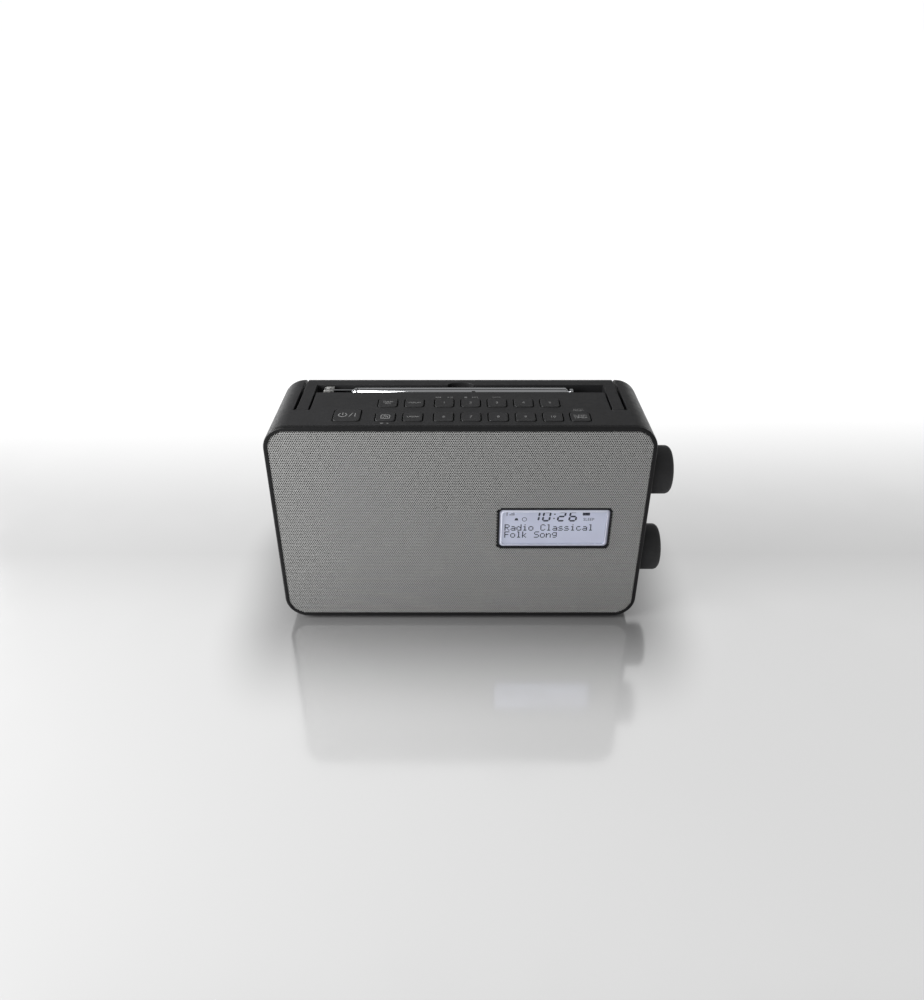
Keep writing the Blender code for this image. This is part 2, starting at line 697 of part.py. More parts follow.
# ---------------------------------------------------------------- aerial
def aerial():
    """The forked base, its hinge pin, the flat tongue and five sections that slide in each other."""
    low_y, high_y = ROD_Y - FORK_HALF_Y, ROD_Y + FORK_HALF_Y
    rounded = arc((FORK_FRONT_X + FORK_ROUND, FORK_TOP_Z - FORK_ROUND), FORK_ROUND, 90, 180, 5)
    fork = [(FORK_FRONT_X, FORK_LOW_Z), (FORK_BACK_X, FORK_LOW_Z), (FORK_BACK_X, FORK_TOP_Z), *rounded]
    base = make_object("antenna_base", prism(fork, low_y, high_y, "Y"), CHROME)
    post_ends = (POST_LOW_Z, FORK_LOW_Z + 2 * OVERLAP)
    join(base, cylinder(POST_R, post_ends, "Z", (HINGE_X, ROD_Y), 24), "antenna_post")
    slot = block(
        (HINGE_X - FORK_SLOT_REACH, ROD_Y - FORK_SLOT_HALF_Y, ROD_Z - FORK_SLOT_REACH),
        (FORK_BACK_X + PAST, ROD_Y + FORK_SLOT_HALF_Y, FORK_TOP_Z + PAST),
    )
    cut(base, slot, "antenna_fork_slot")
    pin_ends = (low_y + HINGE_PIN_INSET, high_y - HINGE_PIN_INSET)
    join(base, cylinder(HINGE_PIN_R, pin_ends, "Y", (HINGE_X, ROD_Z), 12), "antenna_hinge_pin")

    hinge = (HINGE_X, ROD_Y, ROD_Z)
    eye = arc((HINGE_X, ROD_Z), EYE_R, 65, 295, 10)
    end_x = TONGUE_END_X + 2 * OVERLAP
    strip = [*eye, (end_x, ROD_Z - TONGUE_HALF_Z), (end_x, ROD_Z + TONGUE_HALF_Z)]
    flat = prism(strip, ROD_Y - TONGUE_HALF_Y, ROD_Y + TONGUE_HALF_Y, "Y")
    tongue = make_object("antenna_tongue", flat, CHROME, hinge)
    plug_r = TUBE_RADII[0] - TUBE_WALL - GAP
    cone_end = TUBE_START_X - GAP
    cone = [
        (0, TONGUE_END_X), (CONE_START_R, TONGUE_END_X), (TUBE_RADII[0], cone_end),
        (plug_r, cone_end), (plug_r, TUBE_START_X + PLUG_L), (0, TUBE_START_X + PLUG_L),
    ]
    join(tongue, turned(cone, "X", (ROD_Y, ROD_Z), 24), "antenna_cone")
    cut(tongue, cylinder(HINGE_BORE_R, (low_y, high_y), "Y", (HINGE_X, ROD_Z), 12), "antenna_eye_bore")

    for index, radius in enumerate(TUBE_RADII):
        start = TUBE_START_X if index == 0 else TUBE_START_X + TUBE_SETBACK + TUBE_STEP_IN * index
        end = TUBE_END_X + TUBE_STEP_OUT * index
        inner = radius - TUBE_WALL
        ring = [(inner, start), (radius, start), (radius, end), (inner, end)]
        tube = turned(ring, "X", (ROD_Y, ROD_Z), 24 if index < 2 else 16)
        make_object(f"antenna_tube_{index + 1}", tube, CHROME, (start, ROD_Y, ROD_Z))
    start = TUBE_START_X + TUBE_SETBACK + TUBE_STEP_IN * len(TUBE_RADII)
    neck = TUBE_END_X + TIP_NECK
    tip = neck + TIP_L
    rod = [
        (0, start), (ROD_R, start), (ROD_R, neck),
        (TIP_R - TIP_ROUND / 2, neck), (TIP_R, neck + TIP_ROUND / 2),
        (TIP_R, tip - TIP_ROUND), (TIP_R - TIP_ROUND, tip), (0, tip),
    ]
    make_object("antenna_rod", turned(rod, "X", (ROD_Y, ROD_Z), 16), CHROME, (start, ROD_Y, ROD_Z))


# ---------------------------------------------------------------- rear cover and battery bay
def add_screw_tunnels(cover):
    """A tunnel to each post with a seat for the screw's head, and the four screws."""
    tunnel = [
        (TUNNEL_BORE_R, COVER_FRONT), (TUNNEL_R, COVER_FRONT), (TUNNEL_R, TUNNEL_BACK_Y),
        (TUNNEL_SEAT_R, TUNNEL_BACK_Y), (TUNNEL_SEAT_R, TUNNEL_SEAT_Y), (TUNNEL_BORE_R, TUNNEL_SEAT_Y),
    ]
    head, crown = SCREW_HEAD_Y
    screw = [
        (0, SCREW_TIP_Y), (SCREW_R, SCREW_TIP_Y), (SCREW_R, head), (SCREW_HEAD_R, head),
        (SCREW_CROWN_R, crown), (0, crown),
    ]
    tunnels = bmesh.new()
    for x, z in screw_places():
        turned(tunnel, "Y", (x, z), 16, tunnels)
        side = "left" if x < 0 else "right"
        level = "lower" if z < MID_Z else "upper"
        make_object(f"cover_screw_{level}_{side}", turned(screw, "Y", (x, z), 16), STEEL)
    join(cover, tunnels, "screw_tunnels")


def rear_cover():
    """The moulded back: a shallow tray with openings, air vents and screw tunnels."""
    cover = make_object("rear_cover", loft(body_sections(COVER_DEPTHS)), CHARCOAL)
    inner = []
    for inset, y in zip(COVER_HOLLOW_INSETS, (COVER_HOLLOW_FRONT, COVER_INNER)):
        size = (BODY_W - 2 * inset, BODY_H - 2 * inset)
        inner.append([(x, y, z) for x, z in rounded_rect(*size, COVER_HOLLOW_R, (0, MID_Z), 4)])
    hollow = cut(cover, loft(inner), "cover_hollow")
    rebate_front = SHELL_REAR - 2 * PAST
    walled_x = SLOT_OUT_X + WELL_WALL
    under = block(
        (-walled_x, rebate_front, WELL_FLOOR_Z - WELL_WALL), (walled_x, BODY_D + PAST, BODY_H + PAST)
    )
    cut(hollow, under, "cover_hollow_rebate")
    rebate = block((-SLOT_OUT_X, rebate_front, WELL_FLOOR_Z), (SLOT_OUT_X, BODY_D + PAST, BODY_H + PAST))
    cut(cover, rebate, "handle_rebate")
    cut(cover, rear_openings(), "rear_openings")
    add_screw_tunnels(cover)


def rear_openings():
    """Everything that goes through the back, as one cutter."""
    front, back = COVER_FRONT - OVERLAP, BODY_D + PAST
    half_w, (low, high) = BAY_HALF_W - GAP, BAY_Z
    openings = block((-half_w, front, low), (half_w, back, high))
    inlet = rounded_rect(INLET_BODY[0] + 2 * GAP, INLET_BODY[1] + 2 * GAP, INLET_BODY_R, INLET_CENTRE, 3)
    prism(inlet, front, back, "Y", openings)
    for z in JACK_Z:
        cylinder(JACK_R + GAP, (front, back), "Y", (JACK_X, z), 20, openings)
    for centre in screw_places():
        cylinder(TUNNEL_OPENING_R, (front, back), "Y", centre, 16, openings)
    for index in range(VENT_COUNT):
        centre = (VENT_FIRST_X + VENT_PITCH * index, VENT_Z)
        prism(rounded_rect(*VENT_SIZE, VENT_R, centre, 2), front, back, "Y", openings)
    return openings


def battery_bay():
    """The open box that takes the cells, its sprung contacts and the door that hooks in at the bottom."""
    half_w, (low, high) = BAY_HALF_W, BAY_Z
    outer = block(
        (-half_w - BAY_WALL, BAY_FRONT_Y - BAY_WALL, low - BAY_WALL),
        (half_w + BAY_WALL, BAY_BACK_Y, high + BAY_WALL),
    )
    box = make_object("battery_box", outer, BLACK_MATT)
    cut(box, block((-half_w, BAY_FRONT_Y, low), (half_w, BODY_D + PAST, high)), "bay_hollow")
    middle_y = (BAY_FRONT_Y + BAY_BACK_Y) / 2
    row_z = ((low * 3 + high) / 4, (low + high * 3) / 4)
    for side, sign in (("left", -1), ("right", 1)):
        face = sign * (half_w - GAP)
        low_x, high_x = sorted((face, face - sign * CONTACT_T))
        plate = block(
            (low_x, middle_y - CONTACT_HALF_Y, low + CONTACT_MARGIN_Z),
            (high_x, middle_y + CONTACT_HALF_Y, high - CONTACT_MARGIN_Z),
        )
        contact = make_object(f"battery_contact_{side}", plate, STEEL)
        start = face - sign * CONTACT_T / 2
        tip = start - sign * SPRING_L
        for level, z in enumerate(row_z):
            spring = [(0, start), (SPRING_R[0], start), (SPRING_R[1], tip), (0, tip)]
            join(contact, turned(spring, "X", (middle_y, z), 16), f"contact_{side}_{level}")
    door_half_w = half_w - GAP - DOOR_GAP
    door = block((-door_half_w, BODY_D - DOOR_T, low + DOOR_GAP), (door_half_w, BODY_D, high - DOOR_GAP))
    make_object("battery_door", door, CHARCOAL, (0, *DOOR_HINGE))


def rear_sockets():
    """The mains inlet with its two pins, and the earphone and line sockets."""
    x, z = INLET_CENTRE
    body = rounded_rect(*INLET_BODY, INLET_BODY_R, INLET_CENTRE, 3)
    inlet = make_object("mains_inlet", prism(body, *INLET_Y, "Y"), BLACK_MATT)
    flange = rounded_rect(*INLET_FLANGE, INLET_BODY_R / 2, INLET_CENTRE, 2)
    join(inlet, prism(flange, INLET_FLANGE_Y, BAY_BACK_Y, "Y"), "inlet_flange")
    half_x, half_z = INLET_SOCKET_HALF
    socket = block((x - half_x, INLET_SOCKET_Y, z - half_z), (x + half_x, BODY_D + PAST, z + half_z))
    cut(inlet, socket, "inlet_socket")
    for index, offset in enumerate((-INLET_PIN_X, INLET_PIN_X)):
        pin = cylinder(INLET_PIN_R, INLET_PIN_Y, "Y", (x + offset, z), 12)
        join(inlet, pin, f"inlet_pin_{index}")
    front, back = JACK_Y
    barrel = [
        (0, front), (JACK_BODY_R, front), (JACK_BODY_R, BAY_BACK_Y), (JACK_R, BAY_BACK_Y), (JACK_R, back),
        (JACK_BORE_R, back), (JACK_BORE_R, JACK_BORE_Y), (0, JACK_BORE_Y),
    ]
    for name, jack_z in zip(("earphone_jack", "line_in_jack"), JACK_Z):
        make_object(name, turned(barrel, "Y", (JACK_X, jack_z), 20), BLACK_MATT)


# ---------------------------------------------------------------- inside
def speaker():
    """The loudspeaker behind the baffle: basket, cone with its dust cap, and magnet."""
    centre = (SPEAKER_X, MID_Z)
    front = BAFFLE_BACK + GAP
    profile = [
        (0.0430, front), (SPEAKER_R, front), (SPEAKER_R, front + 0.0020), (0.0448, front + 0.0020),
        (0.0448, front + 0.0050), (0.0270, MAGNET_FRONT - 0.0030), (0.0270, MAGNET_FRONT - GAP),
        (0.0150, MAGNET_FRONT - GAP), (0.0150, MAGNET_FRONT - 0.0030), (0.0255, MAGNET_FRONT - 0.0045),
        (0.0430, front + 0.0042),
    ]
    basket = make_object("speaker_basket", turned(profile, "Y", centre, 28), STEEL)
    windows = bmesh.new()
    for index in range(4):
        turn = Matrix.Rotation(math.radians(45 + 90 * index), 4, "Y")
        window = block((-0.0095, front + 0.0045, 0.020), (0.0095, MAGNET_FRONT - 0.0055, 0.060))
        placing = Matrix.Translation((SPEAKER_X, 0, MID_Z)) @ turn
        bmesh.ops.transform(window, matrix=placing, verts=window.verts)
        scratch = bpy.data.meshes.new("window")
        window.to_mesh(scratch)
        windows.from_mesh(scratch)
        window.free()
        bpy.data.meshes.remove(scratch)
    cut(basket, close_normals(windows), "basket_windows")
    cone = [
        (0, 0.0175), (0.0060, 0.0180), (0.0110, 0.0205), (0.0340, 0.0085), (0.0365, 0.0066), (0.0390, 0.0066),
        (0.0420, 0.0085), (0.0420, 0.0092), (0.0390, 0.0073), (0.0365, 0.0073), (0.0342, 0.0094),
        (0.0120, 0.0225), (0.0120, 0.0300), (0.0112, 0.0300), (0.0112, 0.0222), (0.0058, 0.0187), (0, 0.0182),
    ]
    make_object("speaker_cone", turned(cone, "Y", centre, 28), BLACK_MATT)
    step_r = MAGNET_R - MAGNET_STEP
    groove = MAGNET_FRONT + MAGNET_GROOVE
    coil_gap_end = MAGNET_FRONT + COIL_GAP_L - 0.0010
    magnet = [
        (0, MAGNET_FRONT + 0.0010), (POLE_R, MAGNET_FRONT + 0.0010), (POLE_R, coil_gap_end),
        (COIL_GAP_R, coil_gap_end), (COIL_GAP_R, MAGNET_FRONT), (step_r, MAGNET_FRONT),
        (step_r, groove), (MAGNET_R, groove), (MAGNET_R, MAGNET_BACK), (0, MAGNET_BACK),
    ]
    make_object("speaker_magnet", turned(magnet, "Y", centre, 28), STEEL)


def electronics():
    """The main board with its larger components, and the mains transformer on its foot."""
    board = make_object("main_board", block(*MAIN_BOARD), BOARD)
    parts = bmesh.new()
    for low, high in BOARD_PARTS:
        block(low, high, parts)
    join(board, parts, "board_parts")
    capacitors = bmesh.new()
    for centre in CAPACITOR_CENTRES:
        cylinder(CAPACITOR_R, CAPACITOR_Y, "Y", centre, 16, capacitors)
    join(board, capacitors, "board_capacitors")
    transformer = make_object("mains_transformer", block(*TRANSFORMER_CORE), STEEL)
    join(transformer, block(*TRANSFORMER_WINDING), "transformer_winding")


def feet():
    """Four rubber feet, sunk a little into the underside."""
    profile = [
        (0, -FOOT_H), (FOOT_TIP_R, -FOOT_H), (FOOT_R, -FOOT_H + FOOT_CHAMFER),
        (FOOT_R, FOOT_SUNK), (0, FOOT_SUNK),
    ]
    for name, centre in foot_places().items():
        make_object(name, turned(profile, "Z", centre, 24), RUBBER)


clear_scene()
ROOT = make_empty("radio", (-KNOB_REACH / 2, -BODY_D / 2, FOOT_H))
CHARCOAL = make_material("charcoal_plastic", (0.035, 0.035, 0.037), 0.5)
BLACK_GLOSS = make_material("black_gloss", (0.010, 0.010, 0.011), 0.25)
BLACK_MATT = make_material("black_matt", (0.012, 0.012, 0.012), 0.6)
KEY_PLASTIC = make_material("key_plastic", (0.030, 0.030, 0.031), 0.5)
KNOB = make_material("knob_plastic", (0.018, 0.018, 0.018), 0.5)
GRILLE = make_material("grille_metal", (0.30, 0.30, 0.30), 0.4, 0.8)
CHROME = make_material("chrome", (0.80, 0.80, 0.80), 0.12, 1.0)
STEEL = make_material("steel", (0.45, 0.45, 0.46), 0.35, 1.0)
CLEAR = make_material("clear_lens", (0.85, 0.87, 0.90), 0.05)
LCD = make_material("lcd_glass", (0.55, 0.58, 0.70), 0.3)
WHITE_PLASTIC = make_material("white_plastic", (0.75, 0.75, 0.75), 0.5)
BOARD = make_material("circuit_board", (0.02, 0.14, 0.06), 0.4)
RUBBER = make_material("rubber", (0.015, 0.015, 0.015), 0.8)

cabinet_shell()
front_frame()
front_grille()
display_parts()
keys()
key_board()
knobs()
handle()
aerial()
rear_cover()
battery_bay()
rear_sockets()
speaker()
electronics()
feet()
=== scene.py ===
"""The looks of the tabletop radio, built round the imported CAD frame.

Metres, +Z up, the front faces -Y. Pieces are modelled in the cabinet's own coordinates, as the CAD is: x from
the cabinet's middle line, y back from its front face, z up from its underside.
"""

import math

import bmesh
import bpy
import numpy as np
from mathutils import Matrix, Vector


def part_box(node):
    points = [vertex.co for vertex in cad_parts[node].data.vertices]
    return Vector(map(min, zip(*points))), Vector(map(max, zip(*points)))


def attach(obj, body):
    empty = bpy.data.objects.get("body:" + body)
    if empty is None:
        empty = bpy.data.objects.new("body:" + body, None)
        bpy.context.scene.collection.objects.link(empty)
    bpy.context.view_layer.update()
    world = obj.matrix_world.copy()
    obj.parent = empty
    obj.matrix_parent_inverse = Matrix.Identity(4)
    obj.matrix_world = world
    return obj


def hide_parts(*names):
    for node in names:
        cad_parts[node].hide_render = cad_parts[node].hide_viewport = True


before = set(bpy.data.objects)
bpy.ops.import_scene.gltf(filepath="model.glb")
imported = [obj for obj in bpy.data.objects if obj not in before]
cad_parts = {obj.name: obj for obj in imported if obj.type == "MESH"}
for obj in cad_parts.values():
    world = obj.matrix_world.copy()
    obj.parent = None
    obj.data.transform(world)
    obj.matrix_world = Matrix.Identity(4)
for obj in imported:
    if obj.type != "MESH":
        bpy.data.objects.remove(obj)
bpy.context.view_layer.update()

# ---------------------------------------------------------------- the frame's own measures
SHELL_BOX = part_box("cabinet_shell")
ORIGIN = Vector(((SHELL_BOX[0].x + SHELL_BOX[1].x) / 2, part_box("front_frame")[0].y, SHELL_BOX[0].z))


def box_of(node):
    """A CAD node's box in cabinet coordinates."""
    low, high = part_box(node)
    return low - ORIGIN, high - ORIGIN


def middle_of(node):
    low, high = box_of(node)
    return (low + high) / 2


BODY_W = SHELL_BOX[1].x - SHELL_BOX[0].x
BODY_H = SHELL_BOX[1].z - SHELL_BOX[0].z
BODY_D = box_of("rear_cover")[1].y
MID_Z = BODY_H / 2

# ---------------------------------------------------------------- shape constants shared with the CAD
CORNER_R = 0.016
REAR_ROUND = 0.013
WALL = 0.003
GAP = 0.0003
FRAME_D = 0.003
BEZEL_W = 0.0027
SHELL_FRONT = FRAME_D + GAP
SHELL_REAR = box_of("cabinet_shell")[1].y
COVER_FRONT = SHELL_REAR + GAP
COVER_INNER = 0.0852
COVER_HOLLOW = ((0.0042, COVER_FRONT - 0.001), (0.0080, COVER_INNER))
COVER_HOLLOW_R = 0.008
LEAST_CORNER_R = 0.004
FRAME_EDGE = 0.0010
LEDGE_W = 0.0013
THROUGH_FRONT = (-0.001, 0.008)
THROUGH_BACK = (0.08, 0.09)
WELL_BACK_Y, WELL_TOP_Z = 0.09, 0.16
MOULDED_EDGE = 0.00025
GRILLE_FRONT = 0.0004
GRILLE_BACK = 0.0013
BAFFLE_FRONT = 0.0026
BAFFLE_BACK = 0.0056
DISPLAY = (0.0648, 0.0786, 0.0333)
DISPLAY_R = 0.0034
RIM_W = 0.0009
LENS_BACK = 0.0030
LCD_FRONT = 0.0062
KEY_HOLE_MARGIN = 0.0006
KEY_INSET = 0.00015
KEY_OPENING_Z = (0.1515, 0.158)
BUSHING_HOLE_R, BUSHING_HOLE_X = 0.0048, (0.124, 0.13)
POST_HOLE_R, POST_HOLE_Z = 0.0038, (0.13, 0.144)
CLIP_X, CLIP_END_Y, CLIP_Z = (0.0080, 0.0105), 0.0597, (0.1500, 0.1552)
HUB_CLEAR = 0.0005
PIVOT = (0.036, 0.147)
HUB_R = 0.0124
PIN_R = 0.0025
ARM_IN_X, ARM_OUT_X = 0.1021, 0.1099
SLOT_IN_X, SLOT_OUT_X = 0.1007, 0.1119
HANDLE_LOW_Z = 0.1443
BAR_FRONT_Y = 0.0685
NOTCH_HALF_W, NOTCH_DEPTH = 0.009, 0.0044
WELL_WALL, WELL_FRONT_Y, WELL_FLOOR_Z = 0.0026, 0.0553, 0.142
ROD_Y, ROD_Z = 0.0635, 0.1525
HINGE_X = -0.0926
FORK_X = (HINGE_X - 0.0046, HINGE_X + 0.0030)
FORK_Z = (ROD_Z - 0.0075, ROD_Z + 0.0030)
FORK_ROUND = 0.0030
FORK_SLOT_REACH, FORK_SLOT_HALF_Y = 0.0031, 0.0014
POST_R = 0.0034
TONGUE_END = -0.0770
TONGUE_HALF_Y, TONGUE_HALF_Z = 0.0011, 0.0021
EYE_R, EYE_BORE_R = 0.0024, 0.0012
CONE_START_R = 0.0020
TUBE_WALL = 0.00035
WIRE_R = 0.0007
TIP_L, TIP_ROUND = 0.0028, 0.0010
SPEAKER_HOLE_R = 0.044
VENT_COUNT, VENT_FIRST_X, VENT_PITCH = 13, 0.0330, 0.0050
VENT_SIZE, VENT_Z, VENT_R = (0.0020, 0.0150), 0.1060, 0.00099
SCREW_NODES = [f"cover_screw_{level}_{side}" for level in ("lower", "upper") for side in ("left", "right")]
KEY_NODES = [node for node in sorted(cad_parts) if node.startswith("key_") and node != "key_board"]

# Finer than the CAD: how many steps a rounded corner and a turned piece get.
CORNER_STEPS = 14
TURN_STEPS = 64


# ---------------------------------------------------------------- outlines
def rounded_rect(width, height, radius, centre=(0.0, 0.0), steps=CORNER_STEPS):
    """The points of a rounded rectangle, anticlockwise, each corner an arc."""
    points = []
    for quarter, (side, level) in enumerate([(1, -1), (1, 1), (-1, 1), (-1, -1)]):
        corner_x = centre[0] + side * (width / 2 - radius)
        corner_y = centre[1] + level * (height / 2 - radius)
        for step in range(steps + 1):
            angle = math.radians(90) * (quarter - 1 + step / steps)
            points.append((corner_x + radius * math.cos(angle), corner_y + radius * math.sin(angle)))
    return points


def rectangle(low, high):
    return [(low[0], low[1]), (high[0], low[1]), (high[0], high[1]), (low[0], high[1])]


def arc(centre, radius, start, end, steps):
    """Points along an arc, with its angles in degrees."""
    points = []
    for step in range(steps + 1):
        angle = math.radians(start + (end - start) * step / steps)
        points.append((centre[0] + radius * math.cos(angle), centre[1] + radius * math.sin(angle)))
    return points


def body_outline(inset, steps=CORNER_STEPS):
    """The cabinet's rounded outline in x and z, drawn in by an inset."""
    return rounded_rect(BODY_W - 2 * inset, BODY_H - 2 * inset, CORNER_R - inset, (0, MID_Z), steps)


def rear_inset(y):
    """How far the rounded rear edge draws the outline in at a depth."""
    past = max(0.0, y - (BODY_D - REAR_ROUND))
    return REAR_ROUND - math.sqrt(max(REAR_ROUND**2 - past**2, 0.0))


def body_sections(depths, steps=CORNER_STEPS):
    sections = []
    for y in depths:
        inset = rear_inset(y)
        radius = max(CORNER_R - inset, LEAST_CORNER_R)
        outline = rounded_rect(BODY_W - 2 * inset, BODY_H - 2 * inset, radius, (0, MID_Z), steps)
        sections.append(at_depth(outline, y))
    return sections


def fillet_depths(start, end, steps):
    """Depths between start and end that share the rear edge's arc into even angles."""
    base = BODY_D - REAR_ROUND
    first = math.asin(max(0.0, start - base) / REAR_ROUND)
    last = math.asin(min(1.0, (end - base) / REAR_ROUND))
    return [base + REAR_ROUND * math.sin(first + (last - first) * i / steps) for i in range(steps + 1)]


# ---------------------------------------------------------------- meshes
def place(axis, u, v, along):
    return {"X": (along, u, v), "Y": (u, along, v), "Z": (u, v, along)}[axis]


def close_normals(bm):
    bmesh.ops.recalc_face_normals(bm, faces=bm.faces)
    return bm


def prism(outline, low, high, axis, bm=None):
    """An outline extruded from low to high along an axis, added to a mesh or as a new one."""
    bm = bm or bmesh.new()
    corners = [bm.verts.new(place(axis, u, v, low)) for u, v in outline]
    face = bm.faces.new(corners)
    pushed = bmesh.ops.extrude_face_region(bm, geom=[face], use_keep_orig=True)["geom"]
    moved = [item for item in pushed if isinstance(item, bmesh.types.BMVert)]
    bmesh.ops.translate(bm, verts=moved, vec=Vector(place(axis, 0, 0, high - low)))
    return close_normals(bm)


def block(low, high, bm=None):
    return prism(rectangle(low[:2], high[:2]), low[2], high[2], "Z", bm)


def loft(sections, bm=None, capped=True):
    """A body through sections of the same number of points, capped at both ends unless told otherwise."""
    bm = bm or bmesh.new()
    rings = [[bm.verts.new(point) for point in section] for section in sections]
    for ring, after in zip(rings, rings[1:]):
        for i in range(len(ring)):
            j = (i + 1) % len(ring)
            bm.faces.new((ring[i], ring[j], after[j], after[i]))
    if capped:
        bm.faces.new(rings[0])
        bm.faces.new(rings[-1])
    return close_normals(bm)


def turned(profile, axis, centre, steps=TURN_STEPS, bm=None):
    """A profile of (radius, distance along the axis) points turned all the way round that axis."""
    bm = bm or bmesh.new()
    u, v = centre
    points = [bm.verts.new(place(axis, u + radius, v, along)) for radius, along in profile]
    edges = [bm.edges.new(pair) for pair in zip(points, points[1:])]
    if profile[0][0] > 0:
        edges.append(bm.edges.new((points[-1], points[0])))
    bmesh.ops.spin(
        bm, geom=points + edges, cent=place(axis, u, v, 0), axis=Vector(place(axis, 0, 0, 1)),
        angle=math.tau, steps=steps, use_merge=True,
    )
    bmesh.ops.remove_doubles(bm, verts=bm.verts, dist=1e-6)
    return close_normals(bm)


def cylinder(radius, ends, axis, centre, steps=32, bm=None):
    """A plain cylinder between two distances along an axis."""
    start, end = ends
    return turned([(0, start), (radius, start), (radius, end), (0, end)], axis, centre, steps, bm)


def at_depth(outline, y):
    """An outline in x and z as points at a depth."""
    return [(x, y, z) for x, z in outline]


def bare_object(name, bm):
    mesh = bpy.data.meshes.new(name)
    bm.to_mesh(mesh)
    bm.free()
    obj = bpy.data.objects.new(name, mesh)
    bpy.context.scene.collection.objects.link(obj)
    return obj


def settle(obj):
    """Turns an object's modifiers into plain mesh."""
    bpy.context.view_layer.update()
    graph = bpy.context.evaluated_depsgraph_get()
    settled = bpy.data.meshes.new_from_object(obj.evaluated_get(graph))
    old = obj.data
    obj.modifiers.clear()
    obj.data = settled
    bpy.data.meshes.remove(old)
    return obj


def carve(obj, bm, operation="DIFFERENCE"):
    """Cuts a shape out of an object, or joins it on, for good."""
    tool = bare_object("tool", bm)
    modifier = obj.modifiers.new("carve", "BOOLEAN")
    modifier.operation = operation
    modifier.object = tool
    settle(obj)
    bpy.data.meshes.remove(tool.data)
    return obj


def taken_mesh(obj):
    """An object's shape as a cutter for another, with the object itself given up."""
    bm = bmesh.new()
    bm.from_mesh(obj.data)
    bpy.data.meshes.remove(obj.data)
    return bm


def soften(obj, width, segments=2, angle=30):
    """Rounds an object's sharp edges a little, as a mould does."""
    modifier = obj.modifiers.new("soften", "BEVEL")
    modifier.width = width
    modifier.segments = segments
    modifier.limit_method = "ANGLE"
    modifier.angle_limit = math.radians(angle)
    modifier.use_clamp_overlap = True
    settle(obj)
    return obj


def finish_piece(obj, material, body, replaces=(), smooth=40, even=False):
    """Shades a piece, gives it its material and its body, and puts it where the cabinet is."""
    obj.data.materials.clear()
    obj.data.materials.append(material)
    obj.data.shade_smooth()
    obj.data.set_sharp_from_angle(angle=math.radians(smooth))
    if even:
        obj.modifiers.new("even_shading", "WEIGHTED_NORMAL").keep_sharp = True
    obj.location = ORIGIN
    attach(obj, body)
    if replaces:
        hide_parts(*replaces)
    return obj


def add_piece(name, bm, material, body, slot, replaces=(), smooth=40, edge=0.0, segments=2):
    obj = bare_object(name, bm)
    if edge:
        soften(obj, edge, segments)
    return finish_piece(obj, material, body, replaces, smooth)


# ---------------------------------------------------------------- materials
def linear(value):
    """A display value from 0 to 255 as linear light."""
    share = value / 255
    return share / 12.92 if share <= 0.04045 else ((share + 0.055) / 1.055) ** 2.4


def tone(*values):
    red, green, blue = values if len(values) == 3 else values * 3
    return (linear(red), linear(green), linear(blue), 1.0)


class Shading:
    """A Principled material under construction, with short ways to add detail from object coordinates."""

    def __init__(self, name, colour, roughness, metallic=0.0, specular=0.5):
        self.material = bpy.data.materials.new(name)
        self.material.use_nodes = True
        self.nodes = self.material.node_tree.nodes
        self.links = self.material.node_tree.links
        self.shader = self.nodes["Principled BSDF"]
        self.colour = colour
        self.shader.inputs["Base Color"].default_value = colour
        self.shader.inputs["Roughness"].default_value = roughness
        self.shader.inputs["Metallic"].default_value = metallic
        self.shader.inputs["Specular IOR Level"].default_value = specular
        self.coordinates = self.nodes.new("ShaderNodeTexCoord").outputs["Object"]
        self.height = None

    def stretched(self, scale):
        mapping = self.nodes.new("ShaderNodeMapping")
        mapping.inputs["Scale"].default_value = scale
        self.links.new(self.coordinates, mapping.inputs["Vector"])
        return mapping.outputs["Vector"]

    def noise(self, grain, detail=3.0, stretch=(1, 1, 1)):
        """Noise whose features are about this many metres across."""
        node = self.nodes.new("ShaderNodeTexNoise")
        node.inputs["Scale"].default_value = 1.0 / grain
        node.inputs["Detail"].default_value = detail
        self.links.new(self.stretched(stretch), node.inputs["Vector"])
        return node.outputs["Fac"]

    def ramp(self, value, low, high, start=0.3, end=0.7, smooth=False):
        """Maps a value between start and end to a range."""
        node = self.nodes.new("ShaderNodeMapRange")
        node.interpolation_type = "SMOOTHSTEP" if smooth else "LINEAR"
        node.inputs["From Min"].default_value = start
        node.inputs["From Max"].default_value = end
        node.inputs["To Min"].default_value = low
        node.inputs["To Max"].default_value = high
        self.links.new(value, node.inputs["Value"])
        return node.outputs["Result"]

    def vary_colour(self, value, amount):
        """Makes the colour a little lighter and darker with a value."""
        mix = self.nodes.new("ShaderNodeMix")
        mix.data_type = "RGBA"
        dark = [channel * (1 - amount) for channel in self.colour[:3]]
        light = [channel * (1 + amount) for channel in self.colour[:3]]
        mix.inputs["A"].default_value = (*dark, 1.0)
        mix.inputs["B"].default_value = (*light, 1.0)
        self.links.new(self.ramp(value, 0.0, 1.0), mix.inputs["Factor"])
        self.links.new(mix.outputs["Result"], self.shader.inputs["Base Color"])
        return self

    def vary_roughness(self, value, low, high):
        self.links.new(self.ramp(value, low, high), self.shader.inputs["Roughness"])
        return self

    def emboss(self, value, depth):
        """Adds a bump of this depth in metres on top of what is there."""
        node = self.nodes.new("ShaderNodeBump")
        node.inputs["Distance"].default_value = depth
        self.links.new(value, node.inputs["Height"])
        if self.height:
            self.links.new(self.height, node.inputs["Normal"])
        self.height = node.outputs["Normal"]
        self.links.new(self.height, self.shader.inputs["Normal"])
        return self


